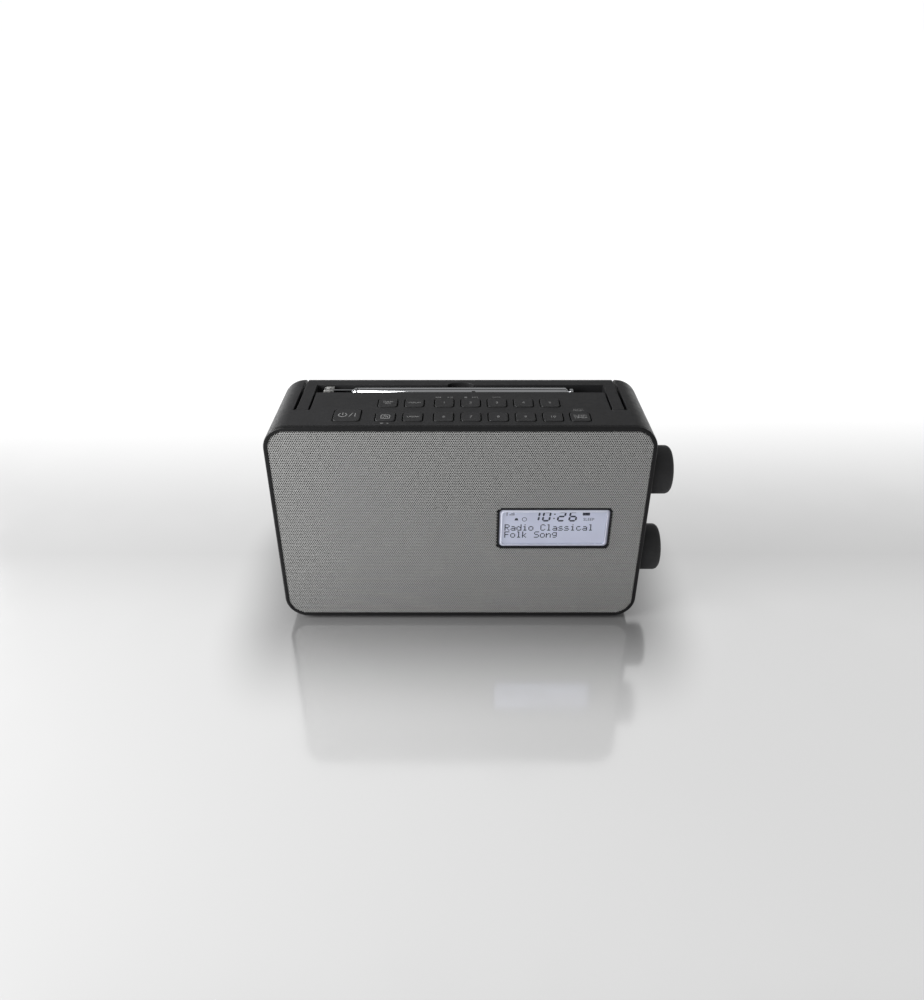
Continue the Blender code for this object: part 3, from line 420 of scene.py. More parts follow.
def moulded_plastic(name, colour, roughness, grain=0.0004, depth=0.00004, specular=0.5):
    """Injection-moulded plastic: a fine spark-eroded grain, faint flow clouds and uneven gloss."""
    made = Shading(name, colour, roughness, specular=specular)
    made.vary_colour(made.noise(0.012), 0.10)
    made.vary_roughness(made.noise(0.004, 4), roughness - 0.05, roughness + 0.06)
    made.emboss(made.noise(grain, 2), depth)
    return made.material


def plated_metal(name, colour, roughness):
    """Polished plating with very fine draw lines along the tube."""
    made = Shading(name, colour, roughness, metallic=1.0)
    made.vary_roughness(made.noise(0.002, 4), roughness * 0.7, roughness * 1.5)
    made.emboss(made.noise(0.0003, 2, (0.05, 1, 1)), 0.000002)
    return made.material


def brushed_metal(name, colour, roughness):
    made = Shading(name, colour, roughness, metallic=1.0)
    made.vary_colour(made.noise(0.003), 0.12)
    made.vary_roughness(made.noise(0.0008, 4, (0.1, 1, 1)), roughness - 0.08, roughness + 0.12)
    made.emboss(made.noise(0.0003, 2, (0.08, 1, 1)), 0.00001)
    return made.material


def grille_paint():
    """Silver-grey lacquer on sheet metal: fine metallic flake and soft orange peel."""
    made = Shading("grille_paint", tone(160, 160, 159), 0.42, metallic=0.35)
    made.vary_colour(made.noise(0.00025, 2), 0.10)
    made.vary_roughness(made.noise(0.003, 3), 0.36, 0.5)
    made.emboss(made.noise(0.0009, 2), 0.00001)
    return made.material


def speaker_cloth():
    """Black open-weave cloth."""
    made = Shading("speaker_cloth", tone(18), 0.95, specular=0.1)
    threads = made.nodes.new("ShaderNodeTexWave")
    threads.inputs["Scale"].default_value = 600
    threads.bands_direction = "DIAGONAL"
    made.links.new(made.coordinates, threads.inputs["Vector"])
    made.vary_colour(made.noise(0.0006, 3), 0.4)
    made.emboss(threads.outputs["Fac"], 0.00008)
    return made.material


def laminate():
    """Green circuit board: solder mask over a faint pattern of tracks."""
    made = Shading("circuit_board", tone(24, 84, 52), 0.35)
    tracks = made.nodes.new("ShaderNodeTexBrick")
    tracks.inputs["Scale"].default_value = 300
    tracks.inputs["Mortar Size"].default_value = 0.06
    tracks.inputs["Color1"].default_value = tone(26, 92, 56)
    tracks.inputs["Color2"].default_value = tone(20, 74, 46)
    tracks.inputs["Mortar"].default_value = tone(52, 124, 74)
    made.links.new(made.coordinates, tracks.inputs["Vector"])
    made.links.new(tracks.outputs["Color"], made.shader.inputs["Base Color"])
    made.emboss(tracks.outputs["Fac"], 0.00002)
    return made.material


def soft_rubber():
    made = Shading("soft_rubber", tone(38), 0.8, specular=0.3)
    made.vary_colour(made.noise(0.002), 0.2)
    made.emboss(made.noise(0.0003, 3), 0.00005)
    return made.material


def pressed_paper():
    """Speaker cone paper: fibrous and matt."""
    made = Shading("cone_paper", tone(34), 0.9, specular=0.2)
    made.vary_colour(made.noise(0.0015, 5, (1, 3, 1)), 0.35)
    made.emboss(made.noise(0.0008, 5), 0.0001)
    return made.material


def clear_plastic():
    """The display's clear cover."""
    made = Shading("clear_plastic", (1, 1, 1, 1), 0.03, specular=0.5)
    made.shader.inputs["Transmission Weight"].default_value = 1.0
    made.shader.inputs["IOR"].default_value = 1.1
    made.vary_roughness(made.noise(0.004, 3), 0.02, 0.05)
    return made.material


def lens_edge():
    """The cover's bevelled edge, pale, with a faint painted glow for the light the bevel catches."""
    made = Shading("lens_edge", tone(172, 174, 186), 0.2)
    # Painted glow: the edge shines by itself, standing in for light caught in the clear bevel.
    made.shader.inputs["Emission Color"].default_value = tone(190, 196, 220)
    made.shader.inputs["Emission Strength"].default_value = 0.18
    made.vary_roughness(made.noise(0.002, 3), 0.15, 0.3)
    return made.material


def lcd_light():
    """The liquid crystal's lit background, its glow a little uneven in soft clouds."""
    made = Shading("lcd_light", tone(140, 144, 160), 0.35)
    made.shader.inputs["Emission Strength"].default_value = 0.42
    clouds = made.noise(0.03, 1)
    mix = made.nodes.new("ShaderNodeMix")
    mix.data_type = "RGBA"
    mix.inputs["A"].default_value = tone(184, 188, 208)
    mix.inputs["B"].default_value = tone(202, 206, 224)
    made.links.new(made.ramp(clouds, 0, 1), mix.inputs["Factor"])
    made.links.new(mix.outputs["Result"], made.shader.inputs["Emission Color"])
    return made.material


def lcd_ink():
    made = Shading("lcd_ink", tone(36, 40, 58), 0.5)
    made.vary_colour(made.noise(0.001, 2), 0.1)
    return made.material


def print_ink(name, value):
    """Pad-printed legend, a little uneven."""
    made = Shading(name, tone(value), 0.6)
    made.vary_colour(made.noise(0.0004, 3), 0.12)
    return made.material


CABINET_MAT = moulded_plastic("cabinet_plastic", tone(37, 37, 38), 0.44, specular=0.30)
HANDLE_MAT = moulded_plastic("handle_plastic", tone(36, 36, 37), 0.42, specular=0.28)
FRAME_MAT = moulded_plastic("frame_plastic", tone(20, 20, 21), 0.36, 0.0006, 0.00001, specular=0.2)
KEY_MAT = moulded_plastic("key_plastic", tone(40, 40, 41), 0.42, 0.0003, 0.00002, specular=0.34)
KNOB_MAT = moulded_plastic("knob_plastic", tone(54, 54, 55), 0.56, 0.0004, 0.00003, specular=0.18)
BLACK_MAT = moulded_plastic("black_plastic", tone(24), 0.55)
WHITE_MAT = moulded_plastic("white_plastic", tone(225), 0.45)
CHROME_MAT = plated_metal("aerial_chrome", tone(166, 167, 169), 0.09)
NICKEL_MAT = plated_metal("aerial_nickel", tone(176, 176, 174), 0.42)
STEEL_MAT = brushed_metal("plain_steel", tone(168, 168, 170), 0.32)
IRON_MAT = brushed_metal("magnet_iron", tone(74, 74, 78), 0.5)
GRILLE_MAT = grille_paint()
CLOTH_MAT = speaker_cloth()
BOARD_MAT = laminate()
RUBBER_MAT = soft_rubber()
PAPER_MAT = pressed_paper()
CLEAR_MAT = clear_plastic()
GLOWING_EDGE_MAT = lens_edge()
LCD_MAT = lcd_light()
INK_MAT = lcd_ink()
LEGEND_MAT = print_ink("key_legend", 128)
MARK_MAT = print_ink("panel_mark", 112)


# ---------------------------------------------------------------- cabinet
def arm_well_outline(margin):
    """The side view of one arm's pocket, in y and z: a round front end and a straight channel to the rear."""
    radius = HUB_R + HUB_CLEAR + margin
    floor = WELL_FLOOR_Z - margin
    start = math.degrees(math.asin((floor - PIVOT[1]) / radius)) % 360
    rounded = arc(PIVOT, radius, 90, start, 40)
    top = BODY_H + 0.010
    return [(PIVOT[0], top), *rounded, (BODY_D + 0.004, floor), (BODY_D + 0.004, top)]


def wells(margin, rear):
    """The room that the folded handle and the aerial take in the top, grown by a margin."""
    low = (-SLOT_OUT_X - margin, WELL_FRONT_Y - margin, WELL_FLOOR_Z - margin)
    return block(low, (SLOT_OUT_X + margin, rear, BODY_H + 0.002))


def key_outline(node, grow, radius):
    low, high = box_of(node)
    centre = ((low.x + high.x) / 2, (low.y + high.y) / 2)
    return rounded_rect(high.x - low.x + 2 * grow, high.y - low.y + 2 * grow, radius + grow, centre, 6)


def key_radius(node):
    return 0.0024 if node == "key_power" else 0.0019


def cabinet_shell():
    """The sleeve that makes the top, sides and underside, with wells for the handle and the aerial."""
    depths = [SHELL_FRONT, *fillet_depths(BODY_D - REAR_ROUND, SHELL_REAR, 4)]
    shell = bare_object("cabinet_sleeve", loft(body_sections(depths)))
    hollow = bare_object("hollow", prism(body_outline(WALL), SHELL_FRONT - 0.001, SHELL_REAR + 0.001, "Y"))
    carve(hollow, wells(WELL_WALL, SHELL_REAR + 0.002))
    for sign in (-1, 1):
        inner, outer = sorted((sign * (SLOT_IN_X - WELL_WALL), sign * (SLOT_OUT_X + WELL_WALL)))
        carve(hollow, prism(arm_well_outline(WELL_WALL), inner, outer, "X"))
    carve(shell, taken_mesh(hollow))
    open_x = SLOT_IN_X + 0.0005
    carve(shell, block((-open_x, WELL_FRONT_Y, WELL_FLOOR_Z), (open_x, WELL_BACK_Y, WELL_TOP_Z)))
    for sign in (-1, 1):
        inner, outer = sorted((sign * SLOT_IN_X, sign * SLOT_OUT_X))
        carve(shell, prism(arm_well_outline(0), inner, outer, "X"))
    holes = bmesh.new()
    for node in KEY_NODES:
        prism(key_outline(node, KEY_HOLE_MARGIN, key_radius(node)), *KEY_OPENING_Z, "Z", holes)
    carve(shell, holes)
    bores = bmesh.new()
    for node in ("volume_control", "tuning_control"):
        centre = middle_of(node)
        cylinder(BUSHING_HOLE_R, BUSHING_HOLE_X, "X", (centre.y, centre.z), bm=bores)
    carve(shell, bores)
    carve(shell, cylinder(POST_HOLE_R, POST_HOLE_Z, "Z", (HINGE_X, ROD_Y)))
    clip_low = (CLIP_X[0], WELL_FRONT_Y - 0.001, CLIP_Z[0])
    carve(shell, block(clip_low, (CLIP_X[1], CLIP_END_Y, CLIP_Z[1])), "UNION")
    soften(shell, MOULDED_EDGE)
    finish_piece(shell, CABINET_MAT, "radio", ["cabinet_shell"], even=True)


def front_frame():
    """The black surround, the baffle behind the grille and the display's thin rim."""
    sections = []
    for step in range(6):
        angle = math.radians(90) * step / 5
        inset, y = FRAME_EDGE * (1 - math.sin(angle)), FRAME_EDGE * (1 - math.cos(angle))
        sections.append(at_depth(body_outline(inset), y))
    sections.append(at_depth(body_outline(0), FRAME_D))
    surround = bare_object("front_surround", loft(sections))
    carve(surround, prism(body_outline(WALL + 0.0004), FRAME_D - 0.0002, BAFFLE_BACK, "Y"), "UNION")
    centre = middle_of("speaker_cone")
    carve(surround, cylinder(SPEAKER_HOLE_R, THROUGH_FRONT, "Y", (centre.x, centre.z), TURN_STEPS))
    x, width, height = DISPLAY
    pocket, ledge = RIM_W + GAP, RIM_W + GAP + LEDGE_W
    front, back = THROUGH_FRONT
    cavity = []
    for inset, y in ((pocket, front), (pocket, LENS_BACK + GAP), (ledge, LENS_BACK + GAP), (ledge, back)):
        outline = rounded_rect(width - 2 * inset, height - 2 * inset, DISPLAY_R - 0.6 * inset, (x, MID_Z), 8)
        cavity.append(at_depth(outline, y))
    carve(surround, loft(cavity))
    recess = bare_object("recess", prism(body_outline(BEZEL_W), -0.001, BAFFLE_FRONT, "Y"))
    rim = rounded_rect(width - 2 * GAP, height - 2 * GAP, DISPLAY_R - GAP, (x, MID_Z), 8)
    carve(recess, prism(rim, -0.002, 0.004, "Y"))
    carve(surround, taken_mesh(recess))
    soften(surround, 0.0002)
    finish_piece(surround, FRAME_MAT, "radio", ["front_frame"], even=True)


# ---------------------------------------------------------------- grille
HOLE_PITCH = 0.00145
HOLE_R = 0.00057


def inside_rounded(x, z, width, height, radius, centre):
    """Which points of two arrays lie inside a rounded rectangle."""
    over_x = np.maximum(np.abs(x - centre[0]) - (width / 2 - radius), 0)
    over_z = np.maximum(np.abs(z - centre[1]) - (height / 2 - radius), 0)
    return np.hypot(over_x, over_z) <= radius


def hole_centres():
    """The perforation's staggered rows, up to the surround and round the display."""
    row_step = HOLE_PITCH * math.sqrt(3) / 2
    columns = math.ceil(BODY_W / 2 / HOLE_PITCH)
    rows = math.ceil(BODY_H / 2 / row_step)
    column, row = np.meshgrid(np.arange(-columns, columns + 1), np.arange(-rows, rows + 1))
    x = ((column + 0.5 * (row % 2)) * HOLE_PITCH).ravel()
    z = (MID_Z + row * row_step).ravel()
    bezel = BEZEL_W
    keep = inside_rounded(x, z, BODY_W - 2 * bezel, BODY_H - 2 * bezel, CORNER_R - bezel, (0, MID_Z))
    centre_x, width, height = DISPLAY
    keep &= ~inside_rounded(x, z, width + 0.0004, height + 0.0004, DISPLAY_R, (centre_x, MID_Z))
    return x[keep], z[keep]


def perforated_sheet(name, x, z, sides=6):
    """Six-sided cells that tile the sheet, each with a round-ish hole whose wall goes to the sheet's back."""
    cell_r = HOLE_PITCH / math.sqrt(3)
    angle = np.radians(30 + 60 * np.arange(sides))
    ring = np.stack([np.cos(angle), np.sin(angle)], axis=1)
    levels = ((cell_r, GRILLE_FRONT), (HOLE_R, GRILLE_FRONT), (HOLE_R * 0.97, GRILLE_BACK))
    count = len(x)
    points = np.zeros((count, len(levels), sides, 3))
    for level, (radius, y) in enumerate(levels):
        points[:, level, :, 0] = x[:, None] + radius * ring[:, 0]
        points[:, level, :, 1] = y
        points[:, level, :, 2] = z[:, None] + radius * ring[:, 1]
    first = np.arange(count)[:, None, None] * len(levels) * sides
    side = np.arange(sides)[None, None, :]
    level = np.arange(len(levels) - 1)[None, :, None] * sides
    after = (side + 1) % sides
    quads = np.stack(
        np.broadcast_arrays(first + level + side, first + level + after,
                            first + level + sides + after, first + level + sides + side), axis=-1
    ).reshape(-1, 4)
    mesh = bpy.data.meshes.new(name)
    mesh.from_pydata(points.reshape(-1, 3), [], quads)
    obj = bpy.data.objects.new(name, mesh)
    bpy.context.scene.collection.objects.link(obj)
    return obj


def front_grille():
    """The perforated sheet, in four strips, with black cloth behind it."""
    x, z = hole_centres()
    strips = 4
    edges = np.linspace(x.min() - 1e-6, x.max() + 1e-6, strips + 1)
    for index in range(strips):
        mine = (x > edges[index]) & (x <= edges[index + 1])
        strip = perforated_sheet(f"grille_strip_{index + 1}", x[mine], z[mine])
        finish_piece(strip, GRILLE_MAT, "radio", ["front_grille"] if index == 0 else ())
    cloth = bare_object("grille_cloth", prism(body_outline(BEZEL_W + 0.0006), 0.0016, 0.0022, "Y"))
    centre_x, width, height = DISPLAY
    window = rounded_rect(width + 0.0004, height + 0.0004, DISPLAY_R, (centre_x, MID_Z), 8)
    carve(cloth, prism(window, 0.001, 0.003, "Y"))
    finish_piece(cloth, CLOTH_MAT, "radio")


# ---------------------------------------------------------------- display
WINDOW_MARGIN = RIM_W + 2 * GAP
WINDOW_BEVEL = 0.0017
PANE_Y = (0.0003, 0.0009)
LCD_FACE_Y = 0.0012
INK_T = 0.00004


def display_outline(inset):
    centre_x, width, height = DISPLAY
    radius = DISPLAY_R - inset * 0.4
    return rounded_rect(width - 2 * inset, height - 2 * inset, radius, (centre_x, MID_Z), 8)


def display_window():
    """The clear cover: a flat pane in a bevelled edge that carries a faint painted glow."""
    edge_sections = [(WINDOW_MARGIN, LENS_BACK), (WINDOW_MARGIN, WINDOW_BEVEL * 0.75)]
    for step in range(5):
        share = step / 4
        depth = WINDOW_BEVEL * 0.75 * (1 - share) ** 1.4
        edge_sections.append((WINDOW_MARGIN + WINDOW_BEVEL * share, depth))
    wall_in = WINDOW_MARGIN + WINDOW_BEVEL + 0.0002
    edge_sections += [(wall_in, 0.0002), (wall_in, LENS_BACK)]
    rings = [at_depth(display_outline(inset), y) for inset, y in edge_sections]
    edge = bare_object("window_edge", loft([*rings, rings[0]], capped=False))
    finish_piece(edge, GLOWING_EDGE_MAT, "radio", ["display_window"], smooth=30)
    pane = prism(display_outline(WINDOW_MARGIN + WINDOW_BEVEL + 0.0003), *PANE_Y, "Y")
    add_piece("window_pane", pane, CLEAR_MAT, "radio", "clear_lens")
    front, back = LENS_BACK + 0.0001, LCD_FRONT - 0.0001
    inner = ((wall_in, front), (wall_in + 0.0003, back))
    outer = ((wall_in - 0.0002, back), (wall_in - 0.0002, front))
    walls = [at_depth(display_outline(inset), y) for inset, y in inner + outer]
    wall = loft([*walls, walls[0]], capped=False)
    # The window's inner wall shares the edge's painted glow.
    add_piece("window_wall", wall, GLOWING_EDGE_MAT, "radio", "white_plastic")


def lcd_panel():
    """The glass whose lit face shows through the window, close behind the pane, and its backing panel."""
    margin = WINDOW_MARGIN + WINDOW_BEVEL + 0.0004
    glass = prism(display_outline(margin), LCD_FACE_Y, LCD_FACE_Y + 0.0010, "Y")
    add_piece("lcd_glass", glass, LCD_MAT, "radio", "lcd_glass", ["lcd_panel"])
    low, high = box_of("lcd_panel")
    add_piece("lcd_back", block(low, high), WHITE_MAT, "radio", "lcd_glass", edge=0.0002)


def flat_shape(bm, outline, y):
    """A thin inked shape on the panel, in x and z."""
    return prism(outline, y - INK_T, y, "Y", bm)


SEGMENTS = {"0": "abcdef", "1": "bc", "2": "abged", "6": "afgedc"}


def segment_outline(name, width, height, thick):
    """One bar of a seven-segment digit whose lower left corner is at 0, 0."""
    half, gap = thick / 2, thick * 0.14
    left, right = half, width - half
    ends = {
        "a": ((left, height - half), (right, height - half)),
        "b": ((right, height - half), (right, height / 2)),
        "c": ((right, height / 2), (right, half)),
        "d": ((left, half), (right, half)),
        "e": ((left, height / 2), (left, half)),
        "f": ((left, height - half), (left, height / 2)),
        "g": ((left, height / 2), (right, height / 2)),
    }[name]
    start, end = Vector(ends[0]), Vector(ends[1])
    along = (end - start).normalized()
    across = Vector((-along.y, along.x)) * half
    start, end = start + along * gap, end - along * gap
    return [start, start + along * half - across, end - along * half - across, end,
            end - along * half + across, start + along * half + across]


def slanted(points, corner, slant=0.12):
    return [(corner[0] + p[0] + p[1] * slant, corner[1] + p[1]) for p in points]


# Five by seven dot letters, one string a row, only those that the display shows.
LETTERS = {
    "R": ("1111.", "1...1", "1...1", "1111.", "1.1..", "1..1.", "1...1"),
    "C": (".111.", "1...1", "1....", "1....", "1....", "1...1", ".111."),
    "F": ("11111", "1....", "1....", "1111.", "1....", "1....", "1...."),
    "S": (".1111", "1....", "1....", ".111.", "....1", "....1", "1111."),
    "a": (".....", ".....", ".111.", "....1", ".1111", "1...1", ".1111"),
    "c": (".....", ".....", ".111.", "1....", "1....", "1...1", ".111."),
    "d": ("....1", "....1", ".11.1", "1..11", "1...1", "1...1", ".1111"),
    "g": (".....", ".1111", "1...1", "1...1", ".1111", "....1", ".111."),
    "i": ("..1..", ".....", ".11..", "..1..", "..1..", "..1..", ".111."),
    "k": ("1....", "1....", "1..1.", "1.1..", "11...", "1.1..", "1..1."),
    "l": (".11..", "..1..", "..1..", "..1..", "..1..", "..1..", ".111."),
    "n": (".....", ".....", "1.11.", "11..1", "1...1", "1...1", "1...1"),
    "o": (".....", ".....", ".111.", "1...1", "1...1", "1...1", ".111."),
    "s": (".....", ".....", ".111.", "1....", ".111.", "....1", "1111."),
    " ": (".....",) * 7,
}


def dot_text(bm, words, left, top, dot, y):
    """Words in square dots, from their upper left corner."""
    size = dot * 1.04
    for index, letter in enumerate(words):
        for row, line in enumerate(LETTERS[letter]):
            for column, mark in enumerate(line):
                if mark == "1":
                    x = left + (index * 6 + column) * dot
                    z = top - (row + 1) * dot * 1.08
                    flat_shape(bm, rectangle((x, z), (x + size, z + size)), y)


def lcd_marks():
    """What the display shows: the time, two lines of dot text and a few small signs."""
    y = LCD_FACE_Y - 0.00002
    ink = bmesh.new()
    digit_w, digit_h, thick = 0.0058, 0.0083, 0.0013
    base = 0.0834
    for digit, left in zip("1026", (0.0484, 0.0559, 0.0662, 0.0741)):
        for name in SEGMENTS[digit]:
            outline = segment_outline(name, digit_w, digit_h, thick)
            flat_shape(ink, slanted(outline, (left, base)), y)
    for height in (0.0021, 0.0055):
        square = rectangle((0, height), (0.0010, height + 0.0010))
        flat_shape(ink, slanted(square, (0.0636, base)), y)
    dot_text(ink, "Radio Classical", 0.0306, 0.0811, 0.00069, y)
    dot_text(ink, "Folk Song", 0.0306, 0.0752, 0.00069, y)
    # Signal sign, two alarm rings and a filled box.
    for bar in range(3):
        x = 0.0338 + 0.0013 * bar
        flat_shape(ink, rectangle((x, 0.0884), (x + 0.0006, 0.0894 + 0.0009 * bar)), y)
    flat_shape(ink, [(0.0308, 0.0914), (0.0332, 0.0914), (0.0320, 0.0899)], y)
    flat_shape(ink, rectangle((0.03175, 0.0882), (0.03225, 0.0901)), y)
    flat_shape(ink, rounded_rect(0.0050, 0.0031, 0.0004, (0.0864, 0.0899), 3), y)
    flat_shape(ink, [(0.0372, 0.0843), (0.0400, 0.0843), (0.0393, 0.0862), (0.0379, 0.0862)], y)
    ring = [(0.0013, y - INK_T), (0.0017, y - INK_T), (0.0017, y), (0.0013, y)]
    turned(ring, "Y", (0.0441, 0.0852), 20, ink)
    add_piece("lcd_marks", ink, INK_MAT, "radio", "lcd_glass")
    lettering("sleep_sign", "SLEEP", 0.0031, (0.0884, y, 0.0851), "radio", INK_MAT, "front")


def lettering(name, words, size, centre, body, material, plane="top", depth=0.00003):
    """Printed words, on the top panel, on the display or on the rear."""
    text = bpy.data.curves.new(name, "FONT")
    text.body = words
    text.size = size
    text.align_x = "CENTER"
    text.align_y = "CENTER"
    text.space_line = 0.85
    text.extrude = depth
    text.resolution_u = 3
    letters = bpy.data.objects.new(name, text)
    bpy.context.scene.collection.objects.link(letters)
    bpy.context.view_layer.update()
    graph = bpy.context.evaluated_depsgraph_get()
    mesh = bpy.data.meshes.new_from_object(letters.evaluated_get(graph))
    bpy.data.objects.remove(letters)
    turn = {
        "top": Matrix.Identity(4),
        "front": Matrix.Rotation(math.radians(90), 4, "X"),
        "rear": Matrix.Rotation(math.radians(180), 4, "Z") @ Matrix.Rotation(math.radians(90), 4, "X"),
    }[plane]
    mesh.transform(Matrix.Translation(centre) @ turn)
    obj = bpy.data.objects.new(name, mesh)
    bpy.context.scene.collection.objects.link(obj)
    return finish_piece(obj, material, body)


# ---------------------------------------------------------------- keys
KEY_EDGE = 0.0003
KEY_DROP = 0.0003
LEGEND_T = 0.00005
MARK_T = 0.00004
LEGENDS = {
    "key_band": ("DAB/\nFM", 0.0030),
    "key_menu": ("DISPLAY", 0.0027),
    "key_tune": ("TUNING", 0.0029),
    "key_sleep": ("SLEEP/\nTIMER", 0.0034),
}
for preset in range(1, 11):
    LEGENDS[f"key_preset_{preset:02d}"] = (str(preset), 0.0040)


def key_cap(node):
    """A key with a rounded rim and a faintly dished top."""
    low, high = box_of(node)
    top = high.z - KEY_DROP
    sections = [(0.0, low.z), (0.0, top - KEY_EDGE)]
    for step in range(1, 5):
        angle = math.radians(90) * step / 4
        sections.append((KEY_EDGE * (1 - math.cos(angle)), top - KEY_EDGE * (1 - math.sin(angle))))
    sections += [(0.0012, top - 0.00003), (0.0024, top - 0.00009), (0.0042, top - 0.00013)]
    rings = []
    for inset, z in sections:
        radius = max(key_radius(node) - inset * 0.4, 0.0006)
        rings.append([(x, y, z) for x, y in key_outline(node, -inset - KEY_INSET, radius + inset)])
    return add_piece(node + "_cap", loft(rings), KEY_MAT, node, "key_plastic", [node], smooth=50)


def key_legends(node):
    """What is printed on a key: words, a number, or a sign built from simple shapes."""
    centre = middle_of(node)
    top = box_of(node)[1].z - KEY_DROP - 0.00010
    if node in LEGENDS:
        words, size = LEGENDS[node]
        lettering(node + "_legend", words, size, (centre.x, centre.y, top), node, LEGEND_MAT)
        return
    signs = bmesh.new()
    if node == "key_power":
        power_sign(signs, centre.x - 0.0030, centre.y, top)
        slash = [(0.0012, -0.0028), (0.0018, -0.0028), (0.0036, 0.0028), (0.0030, 0.0028)]
        prism([(centre.x + u, centre.y + v) for u, v in slash], top, top + LEGEND_T, "Z", signs)
        bar = rectangle((centre.x + 0.0050, centre.y - 0.0026), (centre.x + 0.0056, centre.y + 0.0026))
        prism(bar, top, top + LEGEND_T, "Z", signs)
    else:
        outer = rounded_rect(0.0062, 0.0062, 0.0014, (centre.x, centre.y), 4)
        inner = rounded_rect(0.0050, 0.0050, 0.0009, (centre.x, centre.y), 4)
        rings = [[(x, y, z) for x, y in ring] for ring, z in ((outer, top), (outer, top + LEGEND_T),
                                                              (inner, top + LEGEND_T), (inner, top))]
        loft([*rings, rings[0]], signs, capped=False)
        turned([(0, top), (0.0006, top), (0.0006, top + LEGEND_T), (0, top + LEGEND_T)], "Z",
               (centre.x - 0.0012, centre.y - 0.0012), 16, signs)
        for radius in (0.0017, 0.0029):
            wave_sign(signs, (centre.x - 0.0012, centre.y - 0.0012), radius, 0, top, span=90, thick=0.0005)
    add_piece(node + "_legend", signs, LEGEND_MAT, node, "key_plastic")


def wave_sign(bm, centre, radius, start, z, span=100, thick=0.00045):
    """A bar bent along an arc."""
    outer = arc(centre, radius + thick / 2, start, start + span, 12)
    inner = arc(centre, radius - thick / 2, start + span, start, 12)
    prism(outer + inner, z, z + LEGEND_T, "Z", bm)


def power_sign(bm, x, y, z):
    wave_sign(bm, (x, y), 0.0027, 120, z, span=300, thick=0.0007)
    prism(rectangle((x - 0.0003, y - 0.0002), (x + 0.0003, y + 0.0034)), z, z + LEGEND_T, "Z", bm)


def panel_marks():
    """Small signs printed on the top panel beside the keys."""
    top = BODY_H
    signs = bmesh.new()

    def arrow(x, y, direction, size=0.0013):
        tip = x + direction * size
        prism([(x, y - size * 0.8), (tip, y), (x, y + size * 0.8)], top, top + MARK_T, "Z", signs)

    def bar(x, y, width=0.0005, height=0.0021):
        low, high = (x - width / 2, y - height / 2), (x + width / 2, y + height / 2)
        prism(rectangle(low, high), top, top + MARK_T, "Z", signs)

    marks_y = box_of("key_preset_01")[1].y + 0.0030
    first, second, third = (middle_of(f"key_preset_0{n}").x for n in (1, 2, 3))
    for shift in (-0.0010, 0.0006):
        arrow(first - 0.0030 + shift, marks_y, -1)
        arrow(second + 0.0022 + shift, marks_y, 1)
    bar(first - 0.0058, marks_y)
    bar(second + 0.0046, marks_y)
    arrow(first + 0.0022, marks_y, 1)
    bar(first + 0.0046, marks_y)
    bar(first + 0.0056, marks_y)
    prism(rounded_rect(0.0020, 0.0020, 0.0002, (second - 0.0032, marks_y), 2), top, top + MARK_T, "Z", signs)
    source = middle_of("key_source")
    front_y = box_of("key_source")[0].y - 0.0028
    button = rounded_rect(0.0022, 0.0011, 0.0003, (source.x - 0.0016, front_y), 2)
    prism(button, top, top + MARK_T, "Z", signs)
    arrow(source.x + 0.0016, front_y, 1)
    add_piece("panel_signs", signs, MARK_MAT, "radio", "key_plastic")
    lettering("tone_mark", "TONE", 0.0023, (third, marks_y, top), "radio", MARK_MAT)
    sleep_low, sleep_high = box_of("key_sleep")
    auto_at = ((sleep_low.x + sleep_high.x) / 2, sleep_high.y + 0.0044, top)
    lettering("sleep_mark", "AUTO\nPRESET", 0.0024, auto_at, "radio", MARK_MAT)


# ---------------------------------------------------------------- knobs
def knob(node, body):
    """A turned knob with a grooved foot, a soft shoulder and a dished face."""
    low, high = box_of(node)
    centre = middle_of(node)
    radius = (high.z - low.z) / 2
    back, end = low.x, high.x
    shoulder = 0.0030
    profile = [
        (0, back + 0.0099), (0.0033, back + 0.0099), (0.0033, back + 0.0029), (0.0060, back + 0.0029),
        (0.0060, end - 0.0035), (radius - 0.0022, end - 0.0035), (radius - 0.0022, back),
        (radius - 0.0004, back), (radius, back + 0.0004), (radius, end - shoulder),
        (radius - 0.0002, end - 0.0022), (radius - 0.0006, end - 0.0013), (radius - 0.0011, end - 0.0007),
        (radius - 0.0018, end - 0.0002), (radius - 0.0028, end),
    ]
    profile += [(radius - 0.0040, end), (radius - 0.0046, end - 0.0002), (radius - 0.0054, end - 0.0006)]
    profile += [(radius * 0.45, end - 0.0011), (0, end - 0.0012)]
    cap = bare_object(node + "_cap", turned(profile, "X", (centre.y, centre.z), 96))
    finish_piece(cap, KNOB_MAT, body, [node], smooth=50)
    if node == "volume_knob":
        line = block(
            (end - 0.0011, centre.y - 0.0004, centre.z + 0.0065),
            (end - 0.00045, centre.y + 0.0004, centre.z + 0.0112),
        )
        add_piece("volume_pointer", line, LEGEND_MAT, body, "knob_plastic")
    else:
        hollow = [(0, end - 0.0011), (0.0030, end - 0.0011), (0.0034, end - 0.0007), (0.0036, end - 0.0012)]
        dimple = turned(hollow, "X", (centre.y, centre.z + 0.0085), 32)
        add_piece("tuning_dimple", dimple, KNOB_MAT, body, "knob_plastic")


